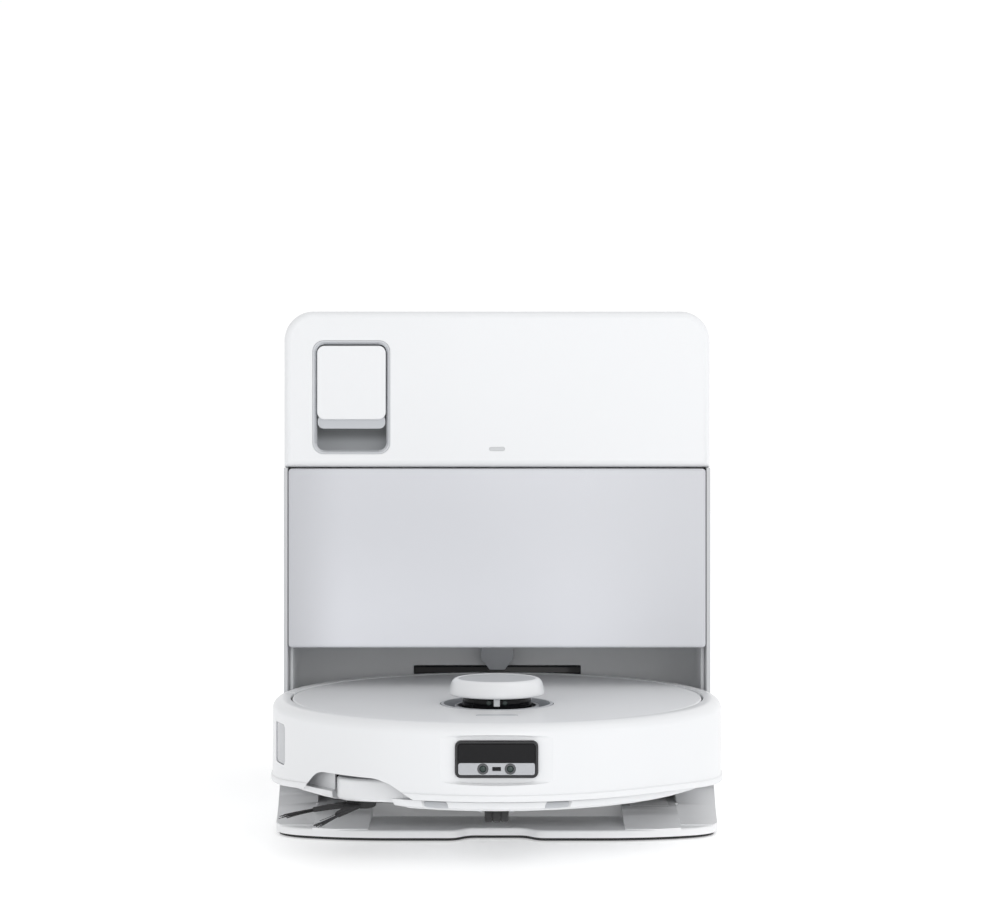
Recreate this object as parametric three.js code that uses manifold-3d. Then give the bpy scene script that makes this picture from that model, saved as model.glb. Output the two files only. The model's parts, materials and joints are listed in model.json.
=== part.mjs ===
// Robot vacuum with its washing and self-emptying station. Millimetres, +Z up, +X to the right of
// someone who faces the station's front, -Y towards that person. The origin is the centre of the
// footprint, on the floor.
import * as THREE from "three";
import { mergeVertices } from "three/addons/utils/BufferGeometryUtils.js";
import Module from "manifold-3d";

const wasm = await Module();
wasm.setup();

// ---------------------------------------------------------------- driving dimensions
const robotRadius = 176.5; // outside of the bumper's skirt
const turretRise = 19.5; // top of the turret above the robot's cover
const robotLift = 24; // the robot's ground plane above the floor while it is docked
const mouthSetback = 58; // the cabinet's front face behind the robot's centre
const cabinetDepth = 248;
const cabinetHeight = 405;
const cabinetWall = 3;
const cabinetCorner = 24; // radius of the top corners seen from the front
const bayGap = 4.2; // between the robot and the bay's side walls
const bayHeadroom = 12.5; // between the docked turret and the underside of the dust cover
const coverTop = 276.6; // top edge of the dust cover
const baseReach = 84; // the base plate's front edge in front of the robot's centre
const trackHeight = 18; // surface that the drive wheels stand on
const trackInner = 96;
const railInner = 139; // inner face of the base's side rails
const railHeight = 31;
const soleThickness = 2;
const floorThickness = 5.5; // of the base plate's front pan
const bumperWall = 2.4;
const bumperTravel = 3;
const wheelRadius = 32;
const wheelWidth = 20;
const wheelTrack = 121; // wheel centre from the robot's centreline
const wheelY = 5;
const wheelLift = 7; // suspension travel
const deckPlate = 3;
const coverStack = 5; // from the deck's upper face to the top of the cover over it
const mopRadius = 62;
const mopX = 66;
const mopY = 86;
const mopLift = 7; // travel of the mop carriage
const turretY = -50;
const turretRadius = 36;
const drumRadius = 29;
const tankGap = 1.5; // around each water tank
const tankWall = 2.2;
const pocketLeft = -150.4; // detergent pocket in the front fascia
const pocketWidth = 63.2;
const pocketBottom = 288.4;
const pocketHeight = 92.6;
const pocketCorner = 9;
const gripHeight = 28; // finger space under the cartridge's tab
const facets = 48; // sides of the robot's round shells
const gap = 0.3; // clearance between pieces that rest on each other
const slack = 0.8; // clearance round a piece that moves

// ---------------------------------------------------------------- places worked out from them
const wheelZ = trackHeight + gap - robotLift + wheelRadius;
const deckTop = wheelZ + wheelRadius + wheelLift + 1.2 + deckPlate; // above the robot's own ground plane
const deckHeight = deckTop + coverStack;
const robotHeight = deckHeight + turretRise;
const bayHeight = robotLift + robotHeight + bayHeadroom;
const far = 2 * (robotRadius + cabinetHeight); // past the whole object, for cutters
const overallDepth = robotRadius + mouthSetback + cabinetDepth;
const robotY = robotRadius - overallDepth / 2;
const mouthY = robotY + mouthSetback;
const rearY = mouthY + cabinetDepth;
const bayHalf = Math.sqrt(robotRadius ** 2 - mouthSetback ** 2) + bayGap;
const cabinetHalf = bayHalf + cabinetWall;
const bayBackY = robotY + robotRadius + 6;
const baseFrontY = robotY - baseReach;
const baseHalf = cabinetHalf - 1;
const baseFrontHalf = baseHalf - 5;
const baseZ = soleThickness + gap;
const panZ = baseZ + floorThickness;
const fasciaBottom = coverTop + 1.2;
const fasciaDepth = 14;
const bodyRadius = robotRadius - 1.3; // upright wall of the bumper
const coverRadius = bodyRadius - 15.2;

// ---------------------------------------------------------------- colours and finishes
function material(color, roughness, metalness = 0) {
  return new THREE.MeshStandardMaterial({ color, roughness, metalness });
}
const finish = {
  white: material(0xeceef0, 0.35),
  cabinet: material(0xe6e8ea, 0.4),
  panel: material(0xc4c6cc, 0.3),
  liner: material(0xb4b7ba, 0.55),
  base: material(0xeceef0, 0.42),
  trim: material(0xc2c5c9, 0.45),
  black: material(0x151618, 0.25),
  glass: material(0x0a0a0b, 0.08),
  rubber: material(0x1b1b1c, 0.8),
  metal: material(0xb88a44, 0.3, 1),
  silver: material(0xc9cbce, 0.35, 0.3),
  tank: material(0xaab2bb, 0.2),
  fabric: material(0x9aa0a8, 0.95),
  bag: material(0xd8d4c8, 0.9),
  grey: material(0x6c7076, 0.5),
};

// ---------------------------------------------------------------- solids from three.js geometry
function solid(geometry) {
  const position = (geometry.index ? geometry.toNonIndexed() : geometry).getAttribute("position");
  const merged = mergeVertices(new THREE.BufferGeometry().setAttribute("position", position), 1e-3);
  const faces = [];
  for (let i = 0; i < merged.index.count; i += 3) {
    const [a, b, c] = merged.index.array.slice(i, i + 3);
    if (a !== b && b !== c && a !== c) faces.push([a, b, c]);
  }
  const build = (list) =>
    new wasm.Manifold(
      new wasm.Mesh({
        numProp: 3,
        vertProperties: merged.attributes.position.array,
        triVerts: new Uint32Array(list.flat()),
      }),
    );
  const made = build(faces);
  return made.volume() > 0 ? made : build(faces.map(([a, b, c]) => [a, c, b]));
}

const join = (first, ...others) => others.reduce((whole, next) => whole.add(next), first);
const cut = (first, ...others) => others.reduce((whole, next) => whole.subtract(next), first);
const common = (first, second) => first.intersect(second);

function box(x0, x1, y0, y1, z0, z1) {
  const block = new THREE.BoxGeometry(x1 - x0, y1 - y0, z1 - z0);
  return solid(block.translate((x0 + x1) / 2, (y0 + y1) / 2, (z0 + z1) / 2));
}

// A disc or drum on an axis parallel to Z.
function drum(radius, x, y, z0, z1, sides = 32, topRadius = radius) {
  const shape = new THREE.CylinderGeometry(topRadius, radius, z1 - z0, sides);
  return solid(shape.rotateX(Math.PI / 2).translate(x, y, (z0 + z1) / 2));
}

// A roller on an axis parallel to X.
function roller(radius, x0, x1, y, z, sides = 32) {
  const shape = new THREE.CylinderGeometry(radius, radius, x1 - x0, sides);
  return solid(shape.rotateZ(Math.PI / 2).translate((x0 + x1) / 2, y, z));
}

// A rod on an axis parallel to Y.
function rod(radius, x, y0, y1, z, sides = 24) {
  return solid(new THREE.CylinderGeometry(radius, radius, y1 - y0, sides).translate(x, (y0 + y1) / 2, z));
}

// A profile of [radius, height] points turned about Z.
function turned(profile, sides = 72) {
  const points = profile.map(([r, z]) => new THREE.Vector2(r, z));
  return solid(new THREE.LatheGeometry(points, sides).rotateX(Math.PI / 2));
}

function outline(points) {
  return new THREE.Shape(points.map(([a, b]) => new THREE.Vector2(a, b)));
}

function roundedRect(a0, a1, b0, b1, r) {
  const shape = new THREE.Shape();
  shape.absarc(a1 - r, b0 + r, r, -Math.PI / 2, 0);
  shape.absarc(a1 - r, b1 - r, r, 0, Math.PI / 2);
  shape.absarc(a0 + r, b1 - r, r, Math.PI / 2, Math.PI);
  shape.absarc(a0 + r, b0 + r, r, Math.PI, (3 * Math.PI) / 2);
  return shape;
}

// Extrusions: a plan raised along Z, a front view run along Y, a side view run along X.
function raised(shape, z0, z1, curveSegments = 2) {
  const bars = { depth: z1 - z0, bevelEnabled: false, curveSegments };
  return solid(new THREE.ExtrudeGeometry(shape, bars).translate(0, 0, z0));
}

function deep(shape, y0, y1, curveSegments = 2, round = 0) {
  const bars = {
    depth: y1 - y0 - 2 * round,
    curveSegments,
    bevelEnabled: round > 0,
    bevelThickness: round,
    bevelSize: round,
    bevelOffset: -round,
    bevelSegments: 2,
  };
  return solid(new THREE.ExtrudeGeometry(shape, bars).rotateX(Math.PI / 2).translate(0, y1 - round, 0));
}

const yzToXyz = new THREE.Matrix4().makeBasis(
  new THREE.Vector3(0, 1, 0),
  new THREE.Vector3(0, 0, 1),
  new THREE.Vector3(1, 0, 0),
);
function wide(shape, x0, x1, curveSegments = 2) {
  const bars = { depth: x1 - x0, bevelEnabled: false, curveSegments };
  return solid(new THREE.ExtrudeGeometry(shape, bars).applyMatrix4(yzToXyz).translate(x0, 0, 0));
}

function mesh(name, body, look) {
  const { numProp, vertProperties, triVerts } = body.getMesh();
  const corners = new Float32Array((vertProperties.length / numProp) * 3);
  for (let i = 0; i < corners.length / 3; i++) {
    corners.set(vertProperties.subarray(i * numProp, i * numProp + 3), i * 3);
  }
  const geometry = new THREE.BufferGeometry();
  geometry.setAttribute("position", new THREE.BufferAttribute(corners, 3));
  geometry.setIndex(new THREE.BufferAttribute(triVerts, 1));
  geometry.computeVertexNormals();
  const made = new THREE.Mesh(geometry, look);
  made.name = name;
  return made;
}

// ================================================================ the station
// Base: a rubber sole, a ramp plate with two wheel tracks, side rails and a wash basin, and the
// ribbed board in the basin.
const notchHalf = 26;
const notchDepth = 11;
const basinFrontY = robotY + 16;
const basinHalf = 132;
const basinRearY = robotY + 156;
const basinFloor = 9;

function basePlan(inset) {
  const front = baseFrontY + inset;
  const half = baseHalf - inset;
  const frontHalf = baseFrontHalf - inset;
  const rear = rearY - inset;
  const bow = 24; // how far the front edge's ends fall behind its middle
  const shape = new THREE.Shape();
  shape.moveTo(-half, rear);
  shape.lineTo(-half, mouthY - 10);
  shape.lineTo(-frontHalf, front + bow + 12);
  shape.quadraticCurveTo(-frontHalf, front + bow - 4, -frontHalf + 18, front + bow - 12);
  shape.quadraticCurveTo(-frontHalf + 50, front, -frontHalf + 90, front);
  shape.lineTo(-notchHalf - 10, front);
  const notch = front + notchDepth;
  shape.bezierCurveTo(-notchHalf, front, -notchHalf, notch, -notchHalf + 10, notch);
  shape.lineTo(notchHalf - 10, notch);
  shape.bezierCurveTo(notchHalf, notch, notchHalf, front, notchHalf + 10, front);
  shape.lineTo(frontHalf - 90, front);
  shape.quadraticCurveTo(frontHalf - 50, front, frontHalf - 18, front + bow - 12);
  shape.quadraticCurveTo(frontHalf, front + bow - 4, frontHalf, front + bow + 12);
  shape.lineTo(half, mouthY - 10);
  shape.lineTo(half, rear);
  return shape;
}

function makeBasePlate() {
  const pan = raised(basePlan(0), baseZ, panZ);
  const plateauFront = robotY - 24;
  const plateau = box(-railInner - 1, railInner + 1, plateauFront, mouthY + 140, baseZ, trackHeight);
  const rear = box(-baseHalf, baseHalf, bayBackY, rearY, baseZ, railHeight);
  const rampProfile = new THREE.Shape();
  rampProfile.moveTo(plateauFront + 2, baseZ);
  rampProfile.lineTo(robotY - 80, baseZ);
  rampProfile.lineTo(robotY - 80, panZ + 0.6);
  rampProfile.quadraticCurveTo(robotY - 48, panZ + 1.5, robotY - 38, trackHeight);
  rampProfile.lineTo(plateauFront + 2, trackHeight);
  const railProfile = new THREE.Shape();
  railProfile.moveTo(bayBackY + 1, baseZ);
  railProfile.lineTo(robotY - 62, baseZ);
  railProfile.lineTo(robotY - 62, panZ + 0.6);
  railProfile.quadraticCurveTo(robotY - 14, panZ + 3, robotY + 6, railHeight);
  railProfile.lineTo(bayBackY + 1, railHeight);
  const sides = [-1, 1].flatMap((side) => {
    const span = (a, b) => (side < 0 ? [-b, -a] : [a, b]);
    return [
      wide(rampProfile, ...span(trackInner, railInner - 1)),
      wide(railProfile, ...span(railInner, baseHalf)),
    ];
  });
  const basinPlan = roundedRect(-basinHalf, basinHalf, basinFrontY, basinRearY, 40);
  const basin = raised(basinPlan, basinFloor, railHeight + 1, 8);
  const clearPlan = roundedRect(-railInner, railInner, robotY - 90, bayBackY, 2);
  const clear = raised(clearPlan, trackHeight, railHeight + 1);
  const whole = common(join(pan, plateau, rear, ...sides), raised(basePlan(0), baseZ, railHeight + 1));
  return cut(whole, basin, clear);
}

function makeWashBoard() {
  const edge = 1;
  const half = basinHalf - edge;
  const plan = roundedRect(-half, half, basinFrontY + edge, basinRearY - edge, 39);
  const board = raised(plan, basinFloor + gap, basinFloor + 3.3, 8);
  const ribTop = 18;
  const ribCircle = mopRadius - 8;
  const ribPitch = ribCircle / 3;
  const ribs = [-1, 1].flatMap((side) =>
    [-2.5, -1.5, -0.5, 0.5, 1.5, 2.5].map((step) => {
      const off = step * ribPitch;
      const x = side * mopX + off;
      const y = robotY + mopY;
      const reach = Math.sqrt(ribCircle ** 2 - off ** 2);
      return box(x - 1.6, x + 1.6, y - reach, y + reach, basinFloor + 2, ribTop);
    }),
  );
  return join(board, ...ribs);
}

// Cabinet: an outer shell, the white front fascia, the grey bay liner with its window and beacon.
function cabinetProfile(inset, bottom) {
  const half = cabinetHalf - inset;
  const top = cabinetHeight - inset;
  const r = cabinetCorner - inset;
  const shape = new THREE.Shape();
  shape.moveTo(-half, bottom);
  shape.lineTo(half, bottom);
  shape.absarc(half - r, top - r, r, 0, Math.PI / 2);
  shape.absarc(-half + r, top - r, r, Math.PI / 2, Math.PI);
  return shape;
}

const tankTopFront = mouthY + 20;
const tankTopRear = rearY - 12;
const tankMouthHalf = cabinetHalf - 14;
const shelfTop = 280;

function makeCabinetShell() {
  const outer = deep(cabinetProfile(0, railHeight + gap), mouthY + 1, rearY, 3);
  const inner = deep(cabinetProfile(cabinetWall, railHeight - 5), mouthY - 5, rearY - cabinetWall, 3);
  const fasciaRear = mouthY + fasciaDepth + gap;
  const upperFront = box(-far, far, mouthY - 5, fasciaRear, fasciaBottom - 0.6, far);
  const tankMouths = Object.values(tanks).map(({ x0, x1, y0, y1 }) =>
    raised(
      roundedRect(x0 - tankGap, x1 + tankGap, y0 - tankGap, y1 + tankGap, 13),
      cabinetHeight - 30,
      cabinetHeight + 5,
    ),
  );
  return cut(outer, inner, upperFront, ...tankMouths, inletBlock(gap, rearY - 20, rearY + 5));
}

const inletX = 110;
const inletZ = 62;

function inletBlock(grow, y0, y1) {
  const half = [25.7 + grow, 15.7 + grow];
  return box(inletX - half[0], inletX + half[0], y0, y1, inletZ - half[1], inletZ + half[1]);
}

function makeMainsInlet() {
  const body = inletBlock(0, rearY - 34, rearY - 0.2);
  const opening = roundedRect(inletX - 14, inletX + 14, inletZ - 9, inletZ + 9, 4);
  const mouth = deep(opening, rearY - 20, rearY + 2);
  const pins = [-5, 5].map((x) => rod(1.6, inletX + x, rearY - 21, rearY - 6, inletZ, 12));
  return join(cut(body, mouth), ...pins);
}

// The pocket that the detergent cartridge slides into, as a rounded window in the fascia.
const pocketRight = pocketLeft + pocketWidth;
const pocketTop = pocketBottom + pocketHeight;
const pocketDepth = 70;
const pocketWall = 2.2;

function pocketShape(inset) {
  const corner = pocketCorner - Math.min(inset, pocketCorner - 1);
  const [low, high] = [pocketBottom + inset, pocketTop - inset];
  return roundedRect(pocketLeft + inset, pocketRight - inset, low, high, corner);
}

function makeFrontFascia() {
  const round = 6;
  const rear = mouthY + fasciaDepth;
  const outer = deep(cabinetProfile(0, fasciaBottom), mouthY, rear + fasciaDepth, 3, round);
  const front = common(outer, box(-far, far, mouthY - 5, rear, 0, far));
  const half = cabinetHalf - 16;
  const skirt = box(-half, half, mouthY + 0.01, rear, fasciaBottom, fasciaBottom + 12);
  const inside = cabinetProfile(cabinetWall + 1, fasciaBottom + cabinetWall);
  const hollow = deep(inside, mouthY + cabinetWall, mouthY + 60, 3);
  const shell = cut(join(front, skirt), hollow);
  const pocket = deep(pocketShape(-pocketWall), mouthY + 1, mouthY + pocketDepth + pocketWall);
  const light = deep(roundedRect(-6.3, 6.3, 290.9, 294.1, 1.5), mouthY - 2, mouthY + 10);
  return cut(join(shell, pocket), deep(pocketShape(0), mouthY - 2, mouthY + pocketDepth), light);
}

function makeStatusLight() {
  return deep(roundedRect(-6, 6, 291.2, 293.8, 1.2), mouthY + 0.4, mouthY + 6);
}

// Detergent cartridge: a square tab flush with the fascia and the reservoir behind it.
function makeCartridge() {
  const side = 3.6;
  const left = pocketLeft + side;
  const right = pocketRight - side;
  const top = pocketTop - 4.4;
  const bottom = pocketBottom + gripHeight + 1.6;
  const tab = deep(roundedRect(left, right, bottom, top, 6), mouthY + 0.4, mouthY + 7);
  const lipProfile = outline([
    [mouthY + 3, bottom + 9],
    [mouthY + 3, bottom + 0.6],
    [mouthY + 11, bottom - 7.6],
    [mouthY + 16, bottom - 7.6],
    [mouthY + 16, bottom + 9],
  ]);
  const lip = wide(lipProfile, left + 1.5, right - 1.5);
  const tank = box(left + 1, right - 1, mouthY + 6, mouthY + pocketDepth - 1.5, bottom + 4, top - 1);
  return join(tab, lip, tank);
}

function makeBayLiner() {
  const inside = bayHalf - gap;
  const corner = 70;
  const wall = 2.5;
  const plan = (inset, front) => {
    const half = inside - inset;
    const back = bayBackY + wall - inset;
    const r = corner - inset;
    const shape = new THREE.Shape();
    shape.moveTo(-half, front);
    shape.lineTo(half, front);
    shape.absarc(half - r, back - r, r, 0, Math.PI / 2);
    shape.absarc(-half + r, back - r, r, Math.PI / 2, Math.PI);
    return shape;
  };
  const ceiling = bayHeight + 3;
  const outer = raised(plan(0, mouthY + 19), railHeight + gap, ceiling + wall, 4);
  const room = raised(plan(wall, mouthY + 1), railHeight - 5, ceiling, 4);
  const clearHalf = windowHalf + gap;
  const windowLow = windowTop - windowHeight - gap;
  const window = box(-clearHalf, clearHalf, bayBackY - 10, bayBackY + 10, windowLow, windowTop + gap);
  const contacts = contactX.map((x) => box(x - 7, x + 7, bayBackY - 10, bayBackY + 10, 42, 60));
  return cut(outer, room, window, ...contacts);
}

const contactX = [-32, 32];
const noseHalf = 4.6;
const stripRadius = bodyRadius - 0.6;

// Both face the robot's rear, just above its deck.
const windowTop = robotLift + deckHeight + 4.5;
const windowHalf = 73;
const windowHeight = 22;
const beaconBottom = robotLift + deckHeight + 3;

function makeBayWindow() {
  const low = windowTop - windowHeight;
  return box(-windowHalf, windowHalf, bayBackY + 0.6, bayBackY + 2.4, low, windowTop);
}

function makeBeacon() {
  const ceiling = bayHeight + 3;
  const shape = outline([
    [-14, ceiling - gap],
    [-14, beaconBottom + 9.5],
    [-6.5, beaconBottom],
    [6.5, beaconBottom],
    [14, beaconBottom + 9.5],
    [14, ceiling - gap],
  ]);
  return deep(shape, bayBackY - 20, bayBackY - gap);
}

// A sprung carrier with two noses that touch the robot's charging strips.
function makeContacts() {
  const carrier = box(-42, 42, bayBackY + 5, bayBackY + 9, 46, 56);
  const noseFront = robotY + Math.sqrt(stripRadius ** 2 - (contactX[1] - noseHalf) ** 2) + gap;
  const noses = contactX.flatMap((x) => [
    box(x - 5.6, x + 5.6, noseFront + 4, bayBackY + 6, 45, 57),
    roller(4, x - noseHalf, x + noseHalf, noseFront + 4, 51, 16),
  ]);
  return join(carrier, ...noses);
}

// Dust cover: a shallow grey pan that closes the dust bag's compartment.
const coverHalf = bayHalf - 0.5;
const coverDepth = 15;
const coverWall = 3;

function makeDustCover() {
  const face = roundedRect(-coverHalf, coverHalf, bayHeight, coverTop, 3);
  const block = deep(face, mouthY, mouthY + 2 * coverDepth, 2, 2.5);
  const pan = common(block, box(-far, far, mouthY - 1, mouthY + coverDepth, 0, far));
  const half = coverHalf - coverWall;
  const low = bayHeight + coverWall;
  const high = coverTop - coverWall;
  return cut(pan, box(-half, half, mouthY + coverWall, mouthY + 40, low, high));
}

const chamberFront = mouthY + 22;
const chamberDepth = 96;
const chamberHalf = 118;
const chamberBottom = bayHeight + 8;
const chamberTop = shelfTop - 5;

// Inner frame: the dust bag's chamber and the shelf above it that carries the water tanks, in one
// moulding.
function makeInnerFrame() {
  const rear = chamberFront + chamberDepth;
  const outer = box(-chamberHalf, chamberHalf, chamberFront, rear, chamberBottom, shelfTop - 1);
  const room = box(
    -chamberHalf + 3,
    chamberHalf - 3,
    chamberFront - 5,
    rear - 3,
    chamberBottom + 3,
    chamberTop - 3,
  );
  const port = rod(18, 0, chamberFront + 60, rear + 14, chamberTop - 40, 16);
  const back = rearY - cabinetWall - gap;
  const half = bayHalf - gap;
  const shelf = box(-half, half, mouthY + fasciaDepth + 3, back, shelfTop - 3, shelfTop);
  const rail = box(-half, half, rear + 2, rear + 5, shelfTop - 14, shelfTop - 2);
  const apron = box(-half, half, back - 3, back, shelfTop - 40, shelfTop - 2);
  return join(cut(join(outer, shelf), room, port), rail, apron);
}

function makeDustBag() {
  const shape = roundedRect(-88, 88, chamberBottom + 12, chamberTop - 14, 22);
  return deep(shape, chamberFront + 16, chamberFront + chamberDepth - 9, 2, 14);
}

function makeBagCollar() {
  const shape = roundedRect(-34, 34, chamberBottom + 40, chamberTop - 10, 6);
  const plate = deep(shape, chamberFront + 88, chamberFront + 92);
  return cut(plate, rod(16, 0, chamberFront + 70, chamberFront + 120, chamberTop - 40, 16));
}

function makeDockFan() {
  const y = chamberFront + chamberDepth + 40;
  const scroll = rod(38, 0, y - 28, y + 22, chamberTop - 44, 24);
  const inlet = rod(17, 0, y - 38, y - 27, chamberTop - 40, 24);
  return join(scroll, inlet, box(0, 60, y - 20, y + 14, chamberTop - 80, chamberTop - 56));
}

// Water tanks: clean on the right, dirty on the left behind the cartridge's pocket.
const tankTop = cabinetHeight - 1;
const tankSplit = 6;
const tankSide = tankMouthHalf - tankGap;
const tankRear = tankTopRear - tankGap;
const tanks = {
  clean: { x0: tankSplit, x1: tankSide, y0: tankTopFront + tankGap, y1: tankRear },
  dirty: { x0: -tankSide, x1: -tankSplit, y0: mouthY + pocketDepth + 8, y1: tankRear },
};
const tankLidSeat = cabinetHeight - 18;
const handleReach = 74;
const handleZ = cabinetHeight - 6.5;

function makeTank({ x0, x1, y0, y1 }) {
  const outer = raised(roundedRect(x0, x1, y0, y1, 12), shelfTop + gap, tankLidSeat);
  const room = raised(
    roundedRect(x0 + tankWall, x1 - tankWall, y0 + tankWall, y1 - tankWall, 10),
    shelfTop + gap + tankWall,
    tankLidSeat + 5,
  );
  return cut(outer, room);
}

// The lid closes the tank and has a well that the folded handle lies in.
function makeTankLid({ x0, x1, y0, y1 }) {
  const plate = raised(roundedRect(x0, x1, y0, y1, 12), tankLidSeat + gap, tankTop);
  const middle = (x0 + x1) / 2;
  const pivotY = (y0 + y1) / 2 + handleReach / 2;
  const well = raised(
    roundedRect(middle - 50, middle + 50, pivotY - handleReach - 6, pivotY + 8, 8),
    tankLidSeat + 5,
    tankTop + 5,
  );
  const ears = [-1, 1].map((side) => {
    const x = middle + side * 48;
    return roller(2.2, x - 3, x + 3, pivotY, handleZ, 16);
  });
  return join(cut(plate, well), ...ears);
}

// A folding bail: two arms on a pivot and a grip bar between them.
function makeTankHandle({ x0, x1, y0, y1 }) {
  const middle = (x0 + x1) / 2;
  const pivotY = (y0 + y1) / 2 + handleReach / 2;
  const front = pivotY - handleReach;
  const [low, high] = [handleZ - 5, handleZ + 4.5];
  const side = roundedRect(front + 2, pivotY + 5, low, high, 4);
  const arms = [
    wide(side, middle - 45.5, middle - 39, 1),
    wide(side, middle + 39, middle + 45.5, 1),
  ];
  const grip = box(middle - 44, middle + 44, front, front + 14, low, high);
  const bores = [-47, 47].map((x) => roller(2.5, middle + x - 5, middle + x + 5, pivotY, handleZ, 16));
  return cut(join(grip, ...arms), ...bores);
}

// ================================================================ the robot
// Its parts are made in the robot's own frame: x and y from its centre, z from its ground plane.
const chassisFloor = 11;
const chassisRadius = bodyRadius - 12;
const underRadius = bodyRadius - 19.2; // flat underside, inside its rising edge
const shellSplitY = 12;
const skirtLine = 26; // height of the line above the bumper's skirt, at the front
const skirtDip = 8; // how much lower the skirt runs at the sides
const skirtBand = 5.5;

// Lowers the bumper's lower edge towards the sides.
function dip(body) {
  return body.warp((v) => {
    const share = Math.max(0, Math.min(1, (v[1] + 150) / 130));
    const low = Math.max(0, Math.min(1, (skirtLine + 14 - v[2]) / 14));
    v[2] -= skirtDip * share * share * (3 - 2 * share) * low;
  });
}

function shoulderProfile(bottom, lipRadius) {
  const r = 8;
  const top = deckHeight + 0.5;
  const arc = (radius, from, to, steps) =>
    Array.from({ length: steps + 1 }, (_, i) => {
      const a = from + ((to - from) * i) / steps;
      return [bodyRadius - r + radius * Math.cos(a), top - r + radius * Math.sin(a)];
    });
  const w = bumperWall;
  return [
    [robotRadius - 3, bottom],
    [robotRadius - 0.8, bottom],
    [robotRadius, bottom + 1],
    [robotRadius, bottom + skirtBand - 1.5],
    [bodyRadius, bottom + skirtBand],
    ...arc(r, 0, Math.PI / 2, 3),
    [lipRadius, top],
    [lipRadius, top - w],
    ...arc(r - w, Math.PI / 2, 0, 2),
    [bodyRadius - w, bottom + skirtBand],
    [robotRadius - 3, bottom],
  ];
}

const notchTop = 33.5;
const moduleHalf = 29;
const moduleLow = 37.1;
const moduleHigh = deckHeight - 11.5;
const moduleFaceY = -(bodyRadius - 2); // front of the sensor module
const recessY = -(bodyRadius - 4.5); // flat facet round the module

function makeBumper() {
  const ring = turned(shoulderProfile(skirtLine - skirtBand, coverRadius + 1.2), facets);
  const half = cut(ring, box(-far, far, shellSplitY, far, -10, far));
  const frontLip = drum(coverRadius + 1.2, 0, -(bumperTravel - 0.4), deckHeight - 6, deckHeight + 5, facets);
  const facetBack = box(-44, 44, recessY, recessY + 3.4, moduleLow - 6, moduleHigh + 6);
  const inRing = drum(bodyRadius - 0.4, 0, 0, 0, 90, facets);
  const facet = box(-60, 60, -far, recessY, moduleLow - 4, moduleHigh + 3);
  const clearHalf = moduleHalf + gap;
  const clearShape = roundedRect(-clearHalf, clearHalf, moduleLow - gap, moduleHigh + gap, 4.3);
  const window = deep(clearShape, -far, 25 - bodyRadius);
  const hubX = brushHub[0];
  const notch = outline([
    [hubX - 44, 0],
    [hubX - 44, skirtLine - skirtBand - 2],
    [hubX - 35, notchTop - 3],
    [hubX - 30, notchTop],
    [hubX + 12, notchTop],
    [hubX + 22, notchTop - 3],
    [hubX + 41, skirtLine - skirtBand - 1],
    [hubX + 46, 0],
  ]);
  const notchBody = deep(notch, -far, -60);
  const slot = wallSensor(slack / 2, 20);
  return cut(dip(cut(join(half, common(facetBack, inRing)), facet)), frontLip, window, notchBody, slot);
}

// The wall sensor looks out of the bumper's left side.
function wallSensor(grow, depth) {
  const width = 27 + 2 * grow;
  const shape = roundedRect(-width / 2, width / 2, 31 - grow, 61 + grow, 4);
  const block = deep(shape, -bodyRadius - depth / 2, -bodyRadius + depth / 2);
  return block.rotate([0, 0, -69.5]);
}

// A tube about Z, for pieces that follow the robot's round wall.
function tube(inside, outside, z0, z1, sides = facets) {
  const corners = [[inside, z0], [outside, z0], [outside, z1], [inside, z1], [inside, z0]];
  return turned(corners, sides);
}

function makeWallSensorWindow() {
  return common(tube(bodyRadius - 2.4, bodyRadius - 0.6, 0, 90), wallSensor(0, 20));
}

function makeSensorFrame() {
  const shape = roundedRect(-moduleHalf, moduleHalf, moduleLow, moduleHigh, 4);
  const plate = deep(shape, moduleFaceY, moduleFaceY + 8);
  const border = 1.6;
  const half = moduleHalf - border;
  const pocket = roundedRect(-half, half, moduleLow + border, moduleHigh - border, 1.2);
  return cut(plate, deep(pocket, moduleFaceY - 2, moduleFaceY + 3, 1));
}

const stripTop = moduleLow + 10.6;
function makeSensorWindow() {
  const inset = 2.2;
  const half = moduleHalf - inset;
  const shape = roundedRect(-half, half, stripTop + gap, moduleHigh - inset, 1.2);
  return deep(shape, moduleFaceY + 0.4, moduleFaceY + 2.7, 1);
}

const lensX = 9.6;
const lensZ = moduleLow + 6.4;
function makeCameraStrip() {
  const inset = 2.2;
  const half = moduleHalf - inset;
  const shape = roundedRect(-half, half, moduleLow + inset, stripTop, 1.2);
  const plate = deep(shape, moduleFaceY + 0.6, moduleFaceY + 2.7, 1);
  const holes = [-lensX, lensX].map((x) => rod(3.9, x, moduleFaceY - 2, moduleFaceY + 9, lensZ, 16));
  return cut(plate, ...holes);
}

function makeLens(x) {
  const barrel = rod(3.6, x, moduleFaceY + 0.2, moduleFaceY + 2.7, lensZ, 16);
  return cut(barrel, rod(2.4, x, moduleFaceY - 1, moduleFaceY + 0.9, lensZ, 12));
}

function makeRearShell() {
  const ring = turned(shoulderProfile(skirtLine - skirtBand, coverRadius + 1.2), facets);
  const half = cut(ring, box(-far, far, -far, shellSplitY + bumperTravel + 0.6, -10, far));
  const strips = contactX.map((x) => box(x - 9, x + 9, bodyRadius - 25, far, 17, 37));
  const outlets = [-1, 0, 1].map((k) => box(k * 26 - 10, k * 26 + 10, bodyRadius - 25, far, 46, 50));
  return cut(dip(half), ...strips, ...outlets);
}

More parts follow.
